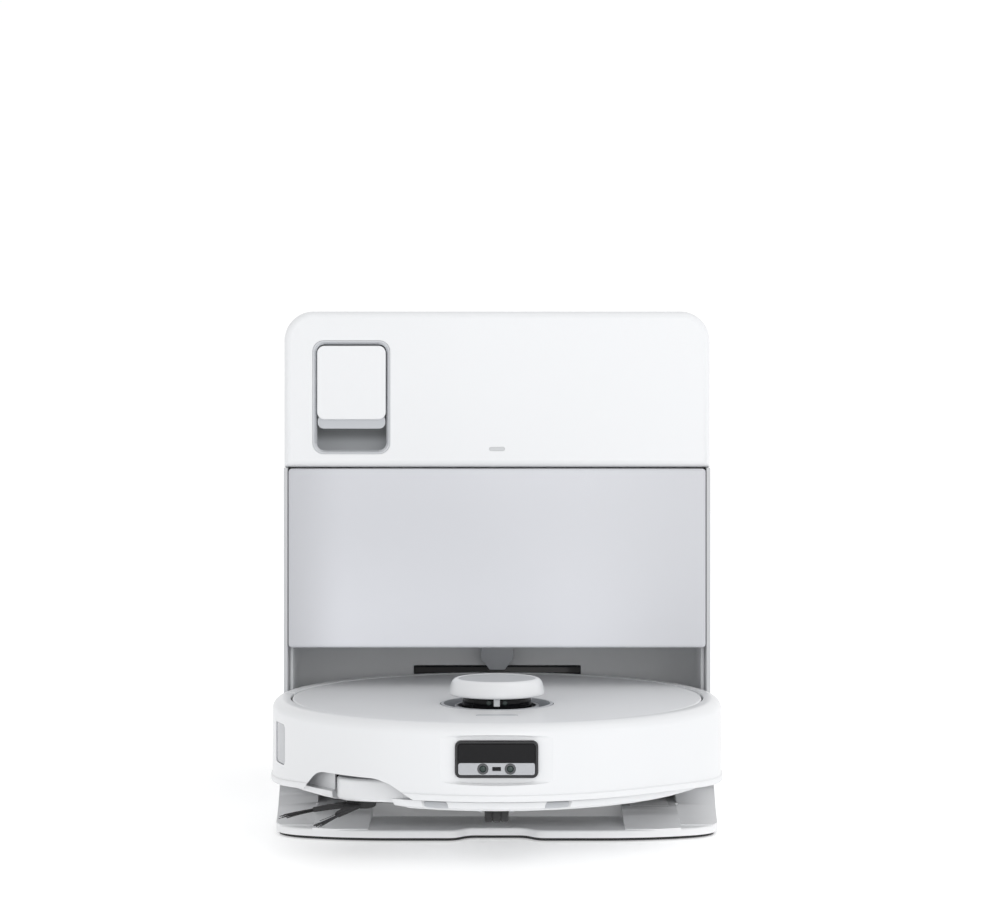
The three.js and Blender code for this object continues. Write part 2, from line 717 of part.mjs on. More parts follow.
function makeStrips() {
  const radius = stripRadius;
  const z0 = 19;
  const z1 = 35;
  const skin = tube(radius - 2, radius, z0, z1);
  const faces = contactX.map((x) => common(skin, box(x - 7.6, x + 7.6, bodyRadius - 25, far, z0, z1)));
  const bridge = box(contactX[0] - 7, contactX[1] + 7, radius - 9, radius - 5, z0 + 5, z1 - 5);
  const back = radius - 3.6; // inside the bent faces
  const posts = contactX.map((x) => box(x - 4, x + 4, radius - 8, back, z0 + 5, z1 - 5));
  return join(bridge, ...faces, ...posts);
}

const polar = (radius, degrees) => [
  radius * Math.cos((degrees * Math.PI) / 180),
  radius * Math.sin((degrees * Math.PI) / 180),
];
const armPivot = polar(bodyRadius - 33, -115.8);
const brushHub = polar(bodyRadius - 22.6, -130);
const armEnd = 15; // radius of the arm's pivot end
const armTip = 18; // radius of its brush end
const armSwing = 35; // degrees
const casterY = 37.2 - bodyRadius;

const armLength = 44;
const armPivotY = wheelY - armLength;
const rollerY = turretY + 4;
const rollerZ = 22;
const rollerHalf = 84;
const finReach = 19.35;

// Chassis: a floor with a rising front edge, a wall inside the bumper, and wells for everything under it.
function makeChassis() {
  const floor = turned(
    [
      [0, chassisFloor],
      [underRadius, chassisFloor],
      [robotRadius - 8.5, skirtLine - skirtBand - 6],
      [robotRadius - 6.5, skirtLine - skirtBand - 1.2],
      [underRadius, skirtLine - skirtBand - 1.2],
      [underRadius - 6, chassisFloor + 2.6],
      [0, chassisFloor + 2.6],
    ],
    facets,
  );
  const wall = turned(
    [
      [chassisRadius - 2.4, chassisFloor + 1],
      [chassisRadius, chassisFloor + 4],
      [chassisRadius, deckTop - deckPlate - gap],
      [chassisRadius - 2.4, deckTop - deckPlate - gap],
      [chassisRadius - 2.4, chassisFloor + 1],
    ],
    facets,
  );
  const roomHalf = moduleHalf + 8;
  const moduleRoom = box(-roomHalf, roomHalf, -far, recessY + 12, moduleLow - 8, moduleHigh + 8);
  const wheelWells = [-1, 1].map((side) =>
    box(
      side * wheelTrack - wheelWidth / 2 - 5,
      side * wheelTrack + wheelWidth / 2 + 5,
      armPivotY - 18,
      wheelY + wheelRadius + 4,
      -5,
      far,
    ),
  );
  const mopWells = [-1, 1].map((side) => drum(mopRadius + 3, side * mopX, mopY, -5, 60, 32));
  const brushWell = box(-rollerHalf - 8, rollerHalf + 8, rollerY - 24, rollerY + 24, -5, 30);
  const casterWell = drum(17, 0, casterY, -5, 45, 24);
  const toHub = [brushHub[0] - armPivot[0], brushHub[1] - armPivot[1]];
  const armReach = Math.hypot(...toHub);
  const atRest = (Math.atan2(toHub[1], toHub[0]) * 180) / Math.PI;
  const tipPlaces = [0, 0.25, 0.5, 0.75, 1].map((share) => polar(armReach, atRest + share * armSwing));
  const armRoom = wasm.Manifold.hull([
    drum(armEnd + 2.5, ...armPivot, -5, notchTop + 2, 24),
    ...tipPlaces.map(([x, y]) =>
      drum(armTip + 2.5, armPivot[0] + x, armPivot[1] + y, -5, notchTop + 2, 24),
    ),
  ]);
  const cliffs = [-1, 1].map((side) => cliffWindow(side, 0.4));
  const brackets = [-1, 1].flatMap((side) =>
    [wheelTrack - 19.5, wheelTrack + 17.5].map((x) =>
      cut(
        box(side * x - 2, side * x + 2, armPivotY - 7, armPivotY + 7, chassisFloor + 1, wheelZ + 7),
        roller(4 + gap, side * x - 3, side * x + 3, armPivotY, wheelZ, 16),
      ),
    ),
  );
  const wells = [moduleRoom, ...wheelWells, ...mopWells, brushWell, casterWell, armRoom];
  return cut(join(floor, wall, ...brackets), ...wells, ...cliffs);
}

function cliffWindow(side, grow) {
  const shape = new THREE.Shape();
  shape.absellipse(side * 43.5, -(robotRadius - 14), 10 + grow, 5.2 + grow, 0, 2 * Math.PI);
  return raised(shape, -5, 60, 6);
}

function makeCliffWindow(side) {
  const skin = turned(
    [
      [underRadius - 6, chassisFloor - 0.4],
      [underRadius + 0.4, chassisFloor + 0.3],
      [robotRadius - 8.7, skirtLine - skirtBand - 5.6],
      [robotRadius - 8.7, skirtLine - skirtBand - 1.6],
      [underRadius - 6, skirtLine - skirtBand - 1.6],
      [underRadius - 6, chassisFloor - 0.4],
    ],
    facets,
  );
  return common(skin, cliffWindow(side, 0));
}

// Deck: the inner top that carries the turret, the button and the dust bin, under the lift-up cover.
const binHalf = 52;
const binFront = -2;
const binRear = 62;
const buttonY = 40 - coverRadius;

function buttonPlan(grow) {
  const [half, depth] = [15 + grow, 4 + grow];
  return roundedRect(-half, half, buttonY - depth, buttonY + depth, depth - 0.1);
}

function makeDeck() {
  const plate = drum(chassisRadius, 0, 0, deckTop - deckPlate, deckTop, facets);
  const inside = turretRadius + 4.6;
  const rim = tube(inside, inside + 2, deckTop - 1, deckHeight + 0.4, 36).translate([0, turretY, 0]);
  const turretHole = drum(inside, 0, turretY, 0, 90, 36);
  const bin = raised(roundedRect(-binHalf, binHalf, binFront, binRear, 6), 0, far);
  const button = raised(buttonPlan(1.4), 0, 90);
  const module = box(-moduleHalf - 8, moduleHalf + 8, -far, recessY + 12, 0, 90);
  const cheeks = hingeX.flatMap((x) =>
    [x - 5, x + 5].map((at) => box(at - 1.6, at + 1.6, hingeY - 4, hingeY + 1, deckTop - 1, deckTop + 2)),
  );
  return cut(join(plate, rim, ...cheeks), turretHole, bin, button, module);
}

const hingeY = coverRadius - 8;
const hingeX = [-44, 44];

function makeTopCover() {
  const plate = turned(
    [
      [0, deckHeight - 2.6],
      [coverRadius - 1, deckHeight - 2.6],
      [coverRadius, deckHeight - 1.6],
      [coverRadius - 0.6, deckHeight],
      [0, deckHeight],
    ],
    facets,
  );
  const hole = drum(turretRadius + 7.4, 0, turretY, 0, 120, 36);
  const button = raised(buttonPlan(0.6), 0, 90);
  const lugs = hingeX.map((x) =>
    box(x - 3, x + 3, hingeY - 3, hingeY + 0.5, deckTop + gap, deckHeight - 2),
  );
  return cut(join(plate, ...lugs), hole, button);
}

function makeStartButton() {
  const cap = raised(buttonPlan(0), deckTop - 2, deckHeight + 0.3);
  return join(cap, drum(3, 0, buttonY, deckTop - 9, deckTop - 1, 16));
}

// Turret: a fixed base with three posts, the cap that they carry, and the spinning range finder inside.
const postAngles = [-90, 30, 150];
const capUnder = deckHeight + 7;
const turretFloor = 57; // floor of the well that the range finder turns in

function makeTurretBase() {
  const collar = turned(
    [
      [0, turretFloor - 3],
      [turretRadius + 4, turretFloor - 3],
      [turretRadius + 4, deckTop - 2],
      [drumRadius + 3, deckTop + 1.5],
      [drumRadius + 3, deckHeight - 1],
      [0, deckHeight - 1],
    ],
    36,
  );
  return cut(collar, drum(drumRadius + 0.6, 0, 0, turretFloor, far, 36)).translate([0, turretY, 0]);
}

function makeLidarCap() {
  const top = robotHeight;
  const cap = turned(
    [
      [0, top - 2.4],
      [turretRadius - 7, top - 2.4],
      [turretRadius - 3, capUnder + 2],
      [drumRadius - 1.4, capUnder + 0.6],
      [drumRadius - 1.4, capUnder],
      [turretRadius - 1, capUnder],
      [turretRadius, capUnder + 1.2],
      [turretRadius - 1.2, top - 4],
      [turretRadius - 3.4, top - 1],
      [turretRadius - 7, top],
      [0, top],
    ],
    40,
  );
  const posts = postAngles.map((deg) =>
    box(drumRadius - 1.2, drumRadius + 0.6, -2.4, 2.4, deckHeight + 1, capUnder + 1).rotate([0, 0, deg]),
  );
  return join(cap, ...posts).translate([0, turretY, 0]);
}

function makeLidarRotor() {
  const r = drumRadius - 2.4;
  const body = drum(r, 0, 0, turretFloor + slack, capUnder - 0.6, 32);
  const eyes = [-6, 6].map((x) => rod(2.2, x, -r - 2, -r + 3, deckHeight + 3.2, 20));
  return cut(body, ...eyes).translate([0, turretY, 0]);
}

// Drive wheels on sprung trailing arms.
function makeWheelArm(side) {
  const x0 = side * (wheelTrack - 13.4);
  const [a, b] = side < 0 ? [x0, x0 + 2.6] : [x0 - 2.6, x0];
  const pivotY = armPivotY;
  const plate = wide(roundedRect(pivotY - 8, wheelY + 9, wheelZ - 9, wheelZ + 9, 8.5), a, b);
  const ends = [side * (wheelTrack - 20), side * (wheelTrack + 18)];
  return join(plate, roller(4, Math.min(...ends), Math.max(...ends), pivotY, wheelZ, 16));
}

function makeHub(side) {
  const half = wheelWidth / 2;
  const [low, high] = [side * wheelTrack - half, side * wheelTrack + half];
  const rim = roller(wheelRadius - 7.3, low + 1, high - 1, wheelY, wheelZ, 20);
  const faces = [-1, 1].map((end) => {
    const x = end < 0 ? low : high;
    return cut(
      roller(wheelRadius - 11, x - 3, x + 3, wheelY, wheelZ, 20),
      roller(7, x - 4, x + 4, wheelY, wheelZ, 12),
    );
  });
  return cut(rim, ...faces);
}

function makeTyre(side) {
  const half = wheelWidth / 2;
  const [low, high] = [side * wheelTrack - half, side * wheelTrack + half];
  const band = roller(wheelRadius, low, high, wheelY, wheelZ, 32);
  return cut(band, roller(wheelRadius - 7, low - 10, high + 10, wheelY, wheelZ, 32));
}

function makeCasterFork() {
  const bowl = drum(13, 0, casterY, 8, 20, 28, 16);
  const wheelSlot = box(-10, 10, casterY - 20, casterY + 20, 0, 20);
  const top = drum(16, 0, casterY, 19.5, 24, 28);
  const stem = drum(4, 0, casterY, 23, 40, 16);
  return join(cut(bowl, wheelSlot), top, stem);
}

function makeCasterWheel() {
  return roller(9.2, -8.6, 8.6, casterY, 9.5, 28);
}

// The side brush rides on an arm that swings out of the bumper's notch.
function makeSideArm() {
  const [px, py] = armPivot;
  const [hx, hy] = brushHub;
  const plan = new THREE.Shape();
  const along = Math.atan2(hy - py, hx - px);
  plan.absarc(px, py, armEnd, along + Math.PI / 2, along - Math.PI / 2 + 2 * Math.PI);
  plan.absarc(hx, hy, armTip, along - Math.PI / 2, along + Math.PI / 2);
  const shell = raised(plan, 14, 30.5, 10);
  return join(shell, drum(6, px, py, 29, 36, 20));
}

function makeSideBrush() {
  const [hx, hy] = brushHub;
  const hub = drum(11, hx, hy, 7.5, 13.6, 24, 9);
  const arms = [198, 245].map((deg) => {
    const strip = outline([[6, -4.5], [34, -3.2], [58, -1], [60, 0], [58, 1], [34, 3.2], [6, 4.5]]);
    const bar = raised(strip, 8, 10.4).warp((v) => {
      v[2] -= 5.5 * Math.max(0, (v[0] - 12) / 48);
    });
    return bar.rotate([0, 0, deg]).translate([hx, hy, 0]);
  });
  return join(hub, ...arms);
}

// Main brush: a roller with straight fins, in a snap-in guard.
function makeMainBrush() {
  const core = roller(11, -rollerHalf, rollerHalf, rollerY, rollerZ, 20);
  const fins = Array.from({ length: 6 }, (_, i) => {
    const turn = (i * Math.PI) / 3;
    const fin = new THREE.BoxGeometry(2 * rollerHalf - 6, 2.4, 9.5).translate(0, 0, finReach - 4.75);
    return solid(fin.rotateX(turn).translate(0, rollerY, rollerZ));
  });
  const ends = [-rollerHalf, rollerHalf].map((x) => roller(4, x - 4, x + 4, rollerY, rollerZ, 12));
  return join(core, ...fins, ...ends);
}

function makeBrushGuard() {
  const half = rollerHalf + 7.4;
  const depth = 23.4;
  const frame = box(-half, half, rollerY - depth, rollerY + depth, chassisFloor - 2, chassisFloor + 1.4);
  const mouth = finReach + 1.25;
  return cut(frame, box(5.4 - half, half - 5.4, rollerY - mouth, rollerY + mouth, 0, 30));
}

// Mops: a lifting carriage, two discs that turn against each other, and their cloth pads.
const carriageTop = 29;

function makeMopCarriage() {
  const plan = roundedRect(-mopX - 24, mopX + 24, mopY - 22, mopY + 22, 12);
  const bar = raised(plan, carriageTop - 8, carriageTop);
  const bores = [-1, 1].map((side) => drum(5.4, side * mopX, mopY, 10, 40, 20));
  return cut(bar, ...bores);
}

function makeMopDisc(side) {
  const disc = drum(mopRadius - 2, side * mopX, mopY, 8.3, 12, 32);
  return join(disc, drum(5, side * mopX, mopY, 11, carriageTop, 20));
}

function makeMopPad(side) {
  return drum(mopRadius - 1, side * mopX, mopY, 0.4, 8, 32, mopRadius);
}

function makeDustBin() {
  const wallPlan = (inset, corner) =>
    roundedRect(inset - binHalf, binHalf - inset, binFront + inset, binRear - inset, corner);
  const outer = raised(wallPlan(1, 5), 32, deckTop - 1.5);
  const room = raised(wallPlan(3, 4), 34, deckTop + 5);
  const grip = box(-18, 18, binRear - 16, binRear - 12, deckTop - 12, deckTop - 1.5);
  const bridge = box(-18, 18, binRear - 16, binRear - 1.5, deckTop - 6, deckTop - 1.5);
  return join(cut(outer, room), grip, bridge);
}

function makeBattery() {
  const low = carriageTop + mopLift + 3;
  return raised(roundedRect(-52, 52, 68, 134, 6), low, deckTop - deckPlate - 2.5);
}

// ================================================================ assembly
const station = new THREE.Group();
station.add(
  mesh("base_sole", raised(basePlan(2), 0, soleThickness), finish.rubber),
  mesh("base_plate", makeBasePlate(), finish.base),
  mesh("wash_board", makeWashBoard(), finish.trim),
  mesh("cabinet_shell", makeCabinetShell(), finish.cabinet),
  mesh("front_fascia", makeFrontFascia(), finish.white),
  mesh("status_light", makeStatusLight(), finish.silver),
  mesh("mains_inlet", makeMainsInlet(), finish.black),
  mesh("bay_liner", makeBayLiner(), finish.liner),
  mesh("bay_window", makeBayWindow(), finish.glass),
  mesh("docking_beacon", makeBeacon(), finish.trim),
  mesh("charging_contacts", makeContacts(), finish.metal),
  mesh("dust_cover", makeDustCover(), finish.panel),
  mesh("inner_frame", makeInnerFrame(), finish.liner),
  mesh("dust_bag", makeDustBag(), finish.bag),
  mesh("dust_bag_collar", makeBagCollar(), finish.trim),
  mesh("dock_fan", makeDockFan(), finish.black),
  mesh("detergent_cartridge", makeCartridge(), finish.white),
);
for (const [kind, place] of Object.entries(tanks)) {
  station.add(
    mesh(kind + "_tank", makeTank(place), finish.tank),
    mesh(kind + "_tank_lid", makeTankLid(place), finish.white),
    mesh(kind + "_tank_handle", makeTankHandle(place), finish.trim),
  );
}

const robot = new THREE.Group();
robot.position.set(0, robotY, robotLift);
robot.add(
  mesh("chassis", makeChassis(), finish.white),
  mesh("rear_shell", makeRearShell(), finish.white),
  mesh("charging_strips", makeStrips(), finish.metal),
  mesh("deck", makeDeck(), finish.trim),
  mesh("top_cover", makeTopCover(), finish.white),
  mesh("start_button", makeStartButton(), finish.trim),
  mesh("turret_base", makeTurretBase(), finish.trim),
  mesh("lidar_cap", makeLidarCap(), finish.white),
  mesh("lidar_rotor", makeLidarRotor(), finish.black),
  mesh("bumper", makeBumper(), finish.white),
  mesh("wall_sensor_window", makeWallSensorWindow(), finish.trim),
  mesh("sensor_frame", makeSensorFrame(), finish.black),
  mesh("sensor_window", makeSensorWindow(), finish.glass),
  mesh("camera_strip", makeCameraStrip(), finish.silver),
  mesh("left_lens", makeLens(-lensX), finish.grey),
  mesh("right_lens", makeLens(lensX), finish.grey),
  mesh("left_cliff_window", makeCliffWindow(-1), finish.trim),
  mesh("right_cliff_window", makeCliffWindow(1), finish.trim),
  mesh("caster_fork", makeCasterFork(), finish.trim),
  mesh("caster_wheel", makeCasterWheel(), finish.rubber),
  mesh("side_brush_arm", makeSideArm(), finish.white),
  mesh("side_brush", makeSideBrush(), finish.rubber),
  mesh("main_brush", makeMainBrush(), finish.rubber),
  mesh("brush_guard", makeBrushGuard(), finish.trim),
  mesh("mop_carriage", makeMopCarriage(), finish.grey),
  mesh("dust_bin", makeDustBin(), finish.tank),
  mesh("battery", makeBattery(), finish.black),
);
for (const [name, side] of [["left", -1], ["right", 1]]) {
  robot.add(
    mesh(name + "_wheel_arm", makeWheelArm(side), finish.grey),
    mesh(name + "_wheel_hub", makeHub(side), finish.grey),
    mesh(name + "_tyre", makeTyre(side), finish.rubber),
    mesh(name + "_mop_disc", makeMopDisc(side), finish.grey),
    mesh(name + "_mop_pad", makeMopPad(side), finish.fabric),
  );
}

const robotVacuum = new THREE.Group();
robotVacuum.add(station, robot);

export default robotVacuum;
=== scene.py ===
# Robot vacuum and its washing station. Metres, +Z up, front towards -Y.
import bpy
import json
import math
import random
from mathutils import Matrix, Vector

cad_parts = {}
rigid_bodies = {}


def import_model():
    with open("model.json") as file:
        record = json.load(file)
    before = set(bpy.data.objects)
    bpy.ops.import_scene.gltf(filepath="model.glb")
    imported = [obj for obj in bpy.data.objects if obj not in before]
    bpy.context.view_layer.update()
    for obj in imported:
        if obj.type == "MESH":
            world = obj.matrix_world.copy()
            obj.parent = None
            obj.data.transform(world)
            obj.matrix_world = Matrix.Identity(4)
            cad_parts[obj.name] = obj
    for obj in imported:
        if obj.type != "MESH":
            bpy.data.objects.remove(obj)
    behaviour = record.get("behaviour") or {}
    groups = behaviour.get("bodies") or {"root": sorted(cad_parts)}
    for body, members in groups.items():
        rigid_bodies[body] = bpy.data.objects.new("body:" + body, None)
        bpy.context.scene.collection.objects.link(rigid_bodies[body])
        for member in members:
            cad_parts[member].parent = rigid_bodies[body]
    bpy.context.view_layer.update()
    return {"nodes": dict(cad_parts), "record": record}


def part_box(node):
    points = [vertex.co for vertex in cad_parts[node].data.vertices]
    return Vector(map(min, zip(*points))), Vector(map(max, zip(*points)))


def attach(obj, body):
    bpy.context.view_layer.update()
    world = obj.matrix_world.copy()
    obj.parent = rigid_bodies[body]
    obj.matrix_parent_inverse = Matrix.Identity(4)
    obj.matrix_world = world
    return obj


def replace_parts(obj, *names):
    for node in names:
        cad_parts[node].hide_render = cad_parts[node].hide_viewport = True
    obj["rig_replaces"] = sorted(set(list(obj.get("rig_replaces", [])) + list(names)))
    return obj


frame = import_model()
nodes = frame["nodes"]
slotOf = {row["node"]: row["material_slot"] for row in frame["record"]["subparts"]}
bodyOf = {node: body for body, held in frame["record"]["behaviour"]["bodies"].items() for node in held}
mm = 0.001

# where the robot and the station stand, read from the frame
bumperLow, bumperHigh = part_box("bumper")
robotRadius = bumperHigh.x
robotX = 0.0
robotY = bumperLow.y + robotRadius
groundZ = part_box("top_cover")[1].z - 74.5 * mm  # the top cover's face is 74.5 mm above the ground
doorLow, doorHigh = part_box("dust_cover")
mouthY = doorLow.y
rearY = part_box("cabinet_shell")[1].y
print("frame loaded: robot centre", round(robotY, 4), "station front", round(mouthY, 4))


# small tools that work on a mesh as by hand, in object and edit mode
def deselectAll():
    if bpy.context.object and bpy.context.object.mode != "OBJECT":
        bpy.ops.object.mode_set(mode="OBJECT")
    bpy.ops.object.select_all(action="DESELECT")


def activate(piece):
    deselectAll()
    piece.select_set(True)
    bpy.context.view_layer.objects.active = piece


def editAll(piece):
    activate(piece)
    bpy.context.tool_settings.mesh_select_mode = (True, False, False)
    bpy.ops.object.mode_set(mode="EDIT")
    bpy.ops.mesh.select_all(action="SELECT")


def leaveEdit():
    bpy.ops.object.mode_set(mode="OBJECT")


def selectNothing(piece):
    activate(piece)
    for item in (*piece.data.polygons, *piece.data.edges, *piece.data.vertices):
        item.select = False


def bakePlace(piece):
    activate(piece)
    bpy.ops.object.transform_apply(location=True, rotation=True, scale=True)


def addModifier(piece, kind, **settings):
    activate(piece)
    modifier = piece.modifiers.new(kind.lower(), kind)
    for key, value in settings.items():
        setattr(modifier, key, value)
    bpy.ops.object.modifier_apply(modifier=modifier.name)
    return piece


def bevelEdges(piece, width, segments=3, angle=30):
    return addModifier(piece, "BEVEL", width=width, segments=segments, limit_method="ANGLE",
                       angle_limit=math.radians(angle), harden_normals=False, miter_outer="MITER_ARC")


def smoothShade(piece, angle=35):
    activate(piece)
    bpy.ops.object.shade_smooth_by_angle(angle=math.radians(angle))
    return piece


def cutWith(piece, *cutters, operation="DIFFERENCE"):
    for cutter in cutters:
        addModifier(piece, "BOOLEAN", operation=operation, object=cutter, solver="EXACT")
        bpy.data.objects.remove(cutter)
    return piece


def joinPieces(first, *others):
    deselectAll()
    for other in others:
        other.select_set(True)
    first.select_set(True)
    bpy.context.view_layer.objects.active = first
    bpy.ops.object.join()
    return first


def newBox(name, low, high, bevel=0.0):
    low, high = Vector(low), Vector(high)
    deselectAll()
    bpy.ops.mesh.primitive_cube_add(size=1, location=(low + high) / 2)
    piece = bpy.context.object
    piece.name = name
    piece.scale = high - low
    bakePlace(piece)
    if bevel:
        bevelEdges(piece, bevel)
    return piece


def startPoint(name, point):
    deselectAll()
    bpy.ops.mesh.primitive_plane_add(size=0.001, location=point)
    piece = bpy.context.object
    piece.name = name
    bakePlace(piece)
    editAll(piece)
    bpy.ops.mesh.merge(type="CENTER")
    return piece


# draws a line of points by extruding one vertex along it, and leaves the piece in edit mode
def drawLine(name, points):
    points = [Vector(p) for p in points]
    piece = startPoint(name, points[0])
    for here, there in zip(points, points[1:]):
        bpy.ops.mesh.extrude_region_move(TRANSFORM_OT_translate={"value": there - here})
    bpy.ops.mesh.select_all(action="SELECT")
    return piece


# turns a profile of (radius, height) points in mm about an upright axis
def turnProfile(name, profile, centre, steps=128, closed=False):
    cx, cy, cz = centre
    points = [(cx + r * mm, cy, cz + z * mm) for r, z in profile]
    if closed:
        points.append(points[0])
    piece = drawLine(name, points)
    bpy.ops.mesh.spin(steps=steps, angle=2 * math.pi, center=(cx, cy, 0), axis=(0, 0, 1))
    bpy.ops.mesh.select_all(action="SELECT")
    bpy.ops.mesh.remove_doubles(threshold=1e-6)
    bpy.ops.mesh.normals_make_consistent(inside=False)
    leaveEdit()
    return piece


# an outline in one plane, filled and pushed along a direction
def pushOutline(name, points, along):
    piece = drawLine(name, points)
    bpy.ops.mesh.edge_face_add()
    bpy.ops.mesh.extrude_region_move(TRANSFORM_OT_translate={"value": along})
    bpy.ops.mesh.select_all(action="SELECT")
    bpy.ops.mesh.normals_make_consistent(inside=False)
    leaveEdit()
    return piece


def arcPoints(cx, cy, radius, start, stop, steps):
    turns = [math.radians(start + (stop - start) * i / steps) for i in range(steps + 1)]
    return [(cx + radius * math.cos(t), cy + radius * math.sin(t)) for t in turns]


def roundedOutline(a0, a1, b0, b1, r, steps=8):
    corners = [(a1 - r, b0 + r, -90), (a1 - r, b1 - r, 0), (a0 + r, b1 - r, 90), (a0 + r, b0 + r, 180)]
    return [p for ca, cb, turn in corners for p in arcPoints(ca, cb, r, turn, turn + 90, steps)]


# a rounded rectangle seen from the front, pushed back from y0 to y1
def frontPlate(name, x0, x1, z0, z1, y0, y1, corner, bevel=0.0, steps=8):
    outline = [(x, y0, z) for x, z in roundedOutline(x0, x1, z0, z1, corner, steps)]
    piece = pushOutline(name, outline, (0, y1 - y0, 0))
    if bevel:
        bevelEdges(piece, bevel)
    return piece


# a rounded rectangle seen from above, raised from z0 to z1
def raisedPlate(name, x0, x1, y0, y1, z0, z1, corner, bevel=0.0, steps=8):
    outline = [(x, y, z0) for x, y in roundedOutline(x0, x1, y0, y1, corner, steps)]
    piece = pushOutline(name, outline, (0, 0, z1 - z0))
    if bevel:
        bevelEdges(piece, bevel)
    return piece


def newDrum(name, radius, centre, length, axis="Z", sides=64, bevel=0.0):
    turn = {"X": (0, math.pi / 2, 0), "Y": (math.pi / 2, 0, 0), "Z": (0, 0, 0)}[axis]
    deselectAll()
    bpy.ops.mesh.primitive_cylinder_add(
        vertices=sides, radius=radius, depth=length, location=centre, rotation=turn)
    piece = bpy.context.object
    piece.name = name
    bakePlace(piece)
    if bevel:
        bevelEdges(piece, bevel)
    return piece


# a copy of a frame node with its edges eased, and its flat faces merged first unless they are pierced
def easedCopy(node, merged):
    piece = nodes[node].copy()
    piece.data = nodes[node].data.copy()
    piece.name = node + "_fine"
    piece.parent = None
    for key in [k for k in piece.keys() if k.startswith("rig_")]:
        del piece[key]
    bpy.context.scene.collection.objects.link(piece)
    editAll(piece)
    bpy.ops.mesh.remove_doubles(threshold=1e-6)
    if merged:
        bpy.ops.mesh.dissolve_limited(angle_limit=math.radians(1.5))
    leaveEdit()
    bevelEdges(piece, 0.5 * mm, 2, 32)
    return smoothShade(piece, 40)


# hands a finished piece to a body, with its finish and the frame node that it stands for
def finishPiece(piece, body, finish, stands=None, shade=35):
    if shade:
        smoothShade(piece, shade)
        addModifier(piece, "WEIGHTED_NORMAL", keep_sharp=True)
    piece.data.materials.clear()
    piece.data.materials.append(finishes[finish])
    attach(piece, body)
    if stands:
        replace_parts(piece, stands)
    return piece


# a value inside a material, so that sums of values read as ordinary expressions
class Signal:
    def __init__(self, maker, socket):
        self.maker = maker
        self.socket = socket

    def math(self, operation, *others):
        return self.maker.node("ShaderNodeMath", {"operation": operation}, self, *others)

    def __add__(self, other):
        return self.math("ADD", other)

    def __sub__(self, other):
        return self.math("SUBTRACT", other)

    def __mul__(self, other):
        return self.math("MULTIPLY", other)

    def __rsub__(self, other):
        return self.maker.node("ShaderNodeMath", {"operation": "SUBTRACT"}, other, self)

    def over(self, low, high):  # 0 at low, 1 at high
        return self.maker.node("ShaderNodeMapRange", {}, self, low, high, 0.0, 1.0)

    __radd__ = __add__
    __rmul__ = __mul__


# makes a material's nodes
class Maker:
    def __init__(self, name):
        self.material = bpy.data.materials.new(name)
        self.material.use_nodes = True
        self.tree = self.material.node_tree
        self.shader = self.tree.nodes["Principled BSDF"]

    # makes a node: its settings first, then values or links for its sockets in order or by name
    def node(self, kind, settings=None, *values, out=0, **named):
        made = self.tree.nodes.new(kind)
        for key, value in (settings or {}).items():
            setattr(made, key, value)
        for place, value in enumerate(values):
            self.feed(made.inputs[place], value)
        for key, value in named.items():
            self.feed(made.inputs[key.replace("_", " ")], value)
        return Signal(self, made.outputs[out])

    def feed(self, socket, value):
        if isinstance(value, Signal):
            self.tree.links.new(value.socket, socket)
        elif value is not None:
            socket.default_value = value

    def place(self, scale=(1, 1, 1)):  # the piece's own coordinates, stretched
        here = self.node("ShaderNodeTexCoord", {}, out=3)
        return self.node("ShaderNodeMapping", {}, Vector=here, Scale=scale)

    def noise(self, scale, detail=2.0, stretch=(1, 1, 1)):
        return self.node("ShaderNodeTexNoise", {}, Vector=self.place(stretch), Scale=scale, Detail=detail)

    def cells(self, scale):
        return self.node("ShaderNodeTexVoronoi", {}, Vector=self.place(), Scale=scale)

    def along(self, axis, start, end):  # 0 at start and 1 at end, in metres along one axis
        here = self.node("ShaderNodeTexCoord", {}, out=3)
        away = self.node("ShaderNodeSeparateXYZ", {}, here, out="XYZ".index(axis))
        smooth = {"interpolation_type": "SMOOTHSTEP"}
        return self.node("ShaderNodeMapRange", smooth, away, start, end, 0.0, 1.0)

    def blend(self, share, first, second):
        mixed = self.node("ShaderNodeMix", {"data_type": "RGBA"}, Factor=share)
        made = mixed.socket.node
        for socket, value in ((made.inputs[6], first), (made.inputs[7], second)):
            self.feed(socket, value if isinstance(value, Signal) else (*value, 1.0))
        return Signal(self, made.outputs[2])

    def bump(self, height, strength, distance):
        return self.node("ShaderNodeBump", {}, Height=height, Strength=strength, Distance=distance)

    def set(self, **sockets):
        for key, value in sockets.items():
            if isinstance(value, tuple) and len(value) == 3:
                value = (*value, 1.0)
            self.feed(self.shader.inputs[key.replace("_", " ")], value)
        return self.material


# moulded plastic: a fine skin, soft uneven sheen and a faint drift of tone, with any painted light and shade
# laid along an axis
def mouldedPlastic(name, colour, rough, grain=2600, skin=0.02, drift=0.03, coat=0.0, metallic=0.0, paintedShading=()):
    make = Maker(name)
    cloud = make.noise(9, 3)
    fine = make.noise(grain, 2)
    darker = tuple(c * (1 - drift) for c in colour)
    paint = make.blend(cloud, darker, colour)
    # painted light and shade: the colour is lightened or darkened towards the end of each given axis
    for axis, start, end, paintedLevel in paintedShading:
        paint = make.blend(make.along(axis, start, end), paint, tuple(c * paintedLevel for c in colour))
    return make.set(
        Base_Color=paint,
        Roughness=cloud.over(0.2, 0.8) * (rough * 0.16) + fine * (rough * 0.1) + rough * 0.87,
        Metallic=metallic,
        Coat_Weight=coat,
        Coat_Roughness=0.12,
        Normal=make.bump(fine, 0.25, skin * mm),
    )


def rubberFinish(name, colour, grain=900):
    make = Maker(name)
    pores = make.cells(grain)
    dust = make.noise(30, 4)
    pale = tuple(min(1, c * 1.7 + 0.01) for c in colour)
    return make.set(
        Base_Color=make.blend(dust.over(0.45, 0.75), colour, pale),
        Roughness=dust * 0.16 + 0.66,
        Normal=make.bump(pores, 0.35, 0.05 * mm),
    )


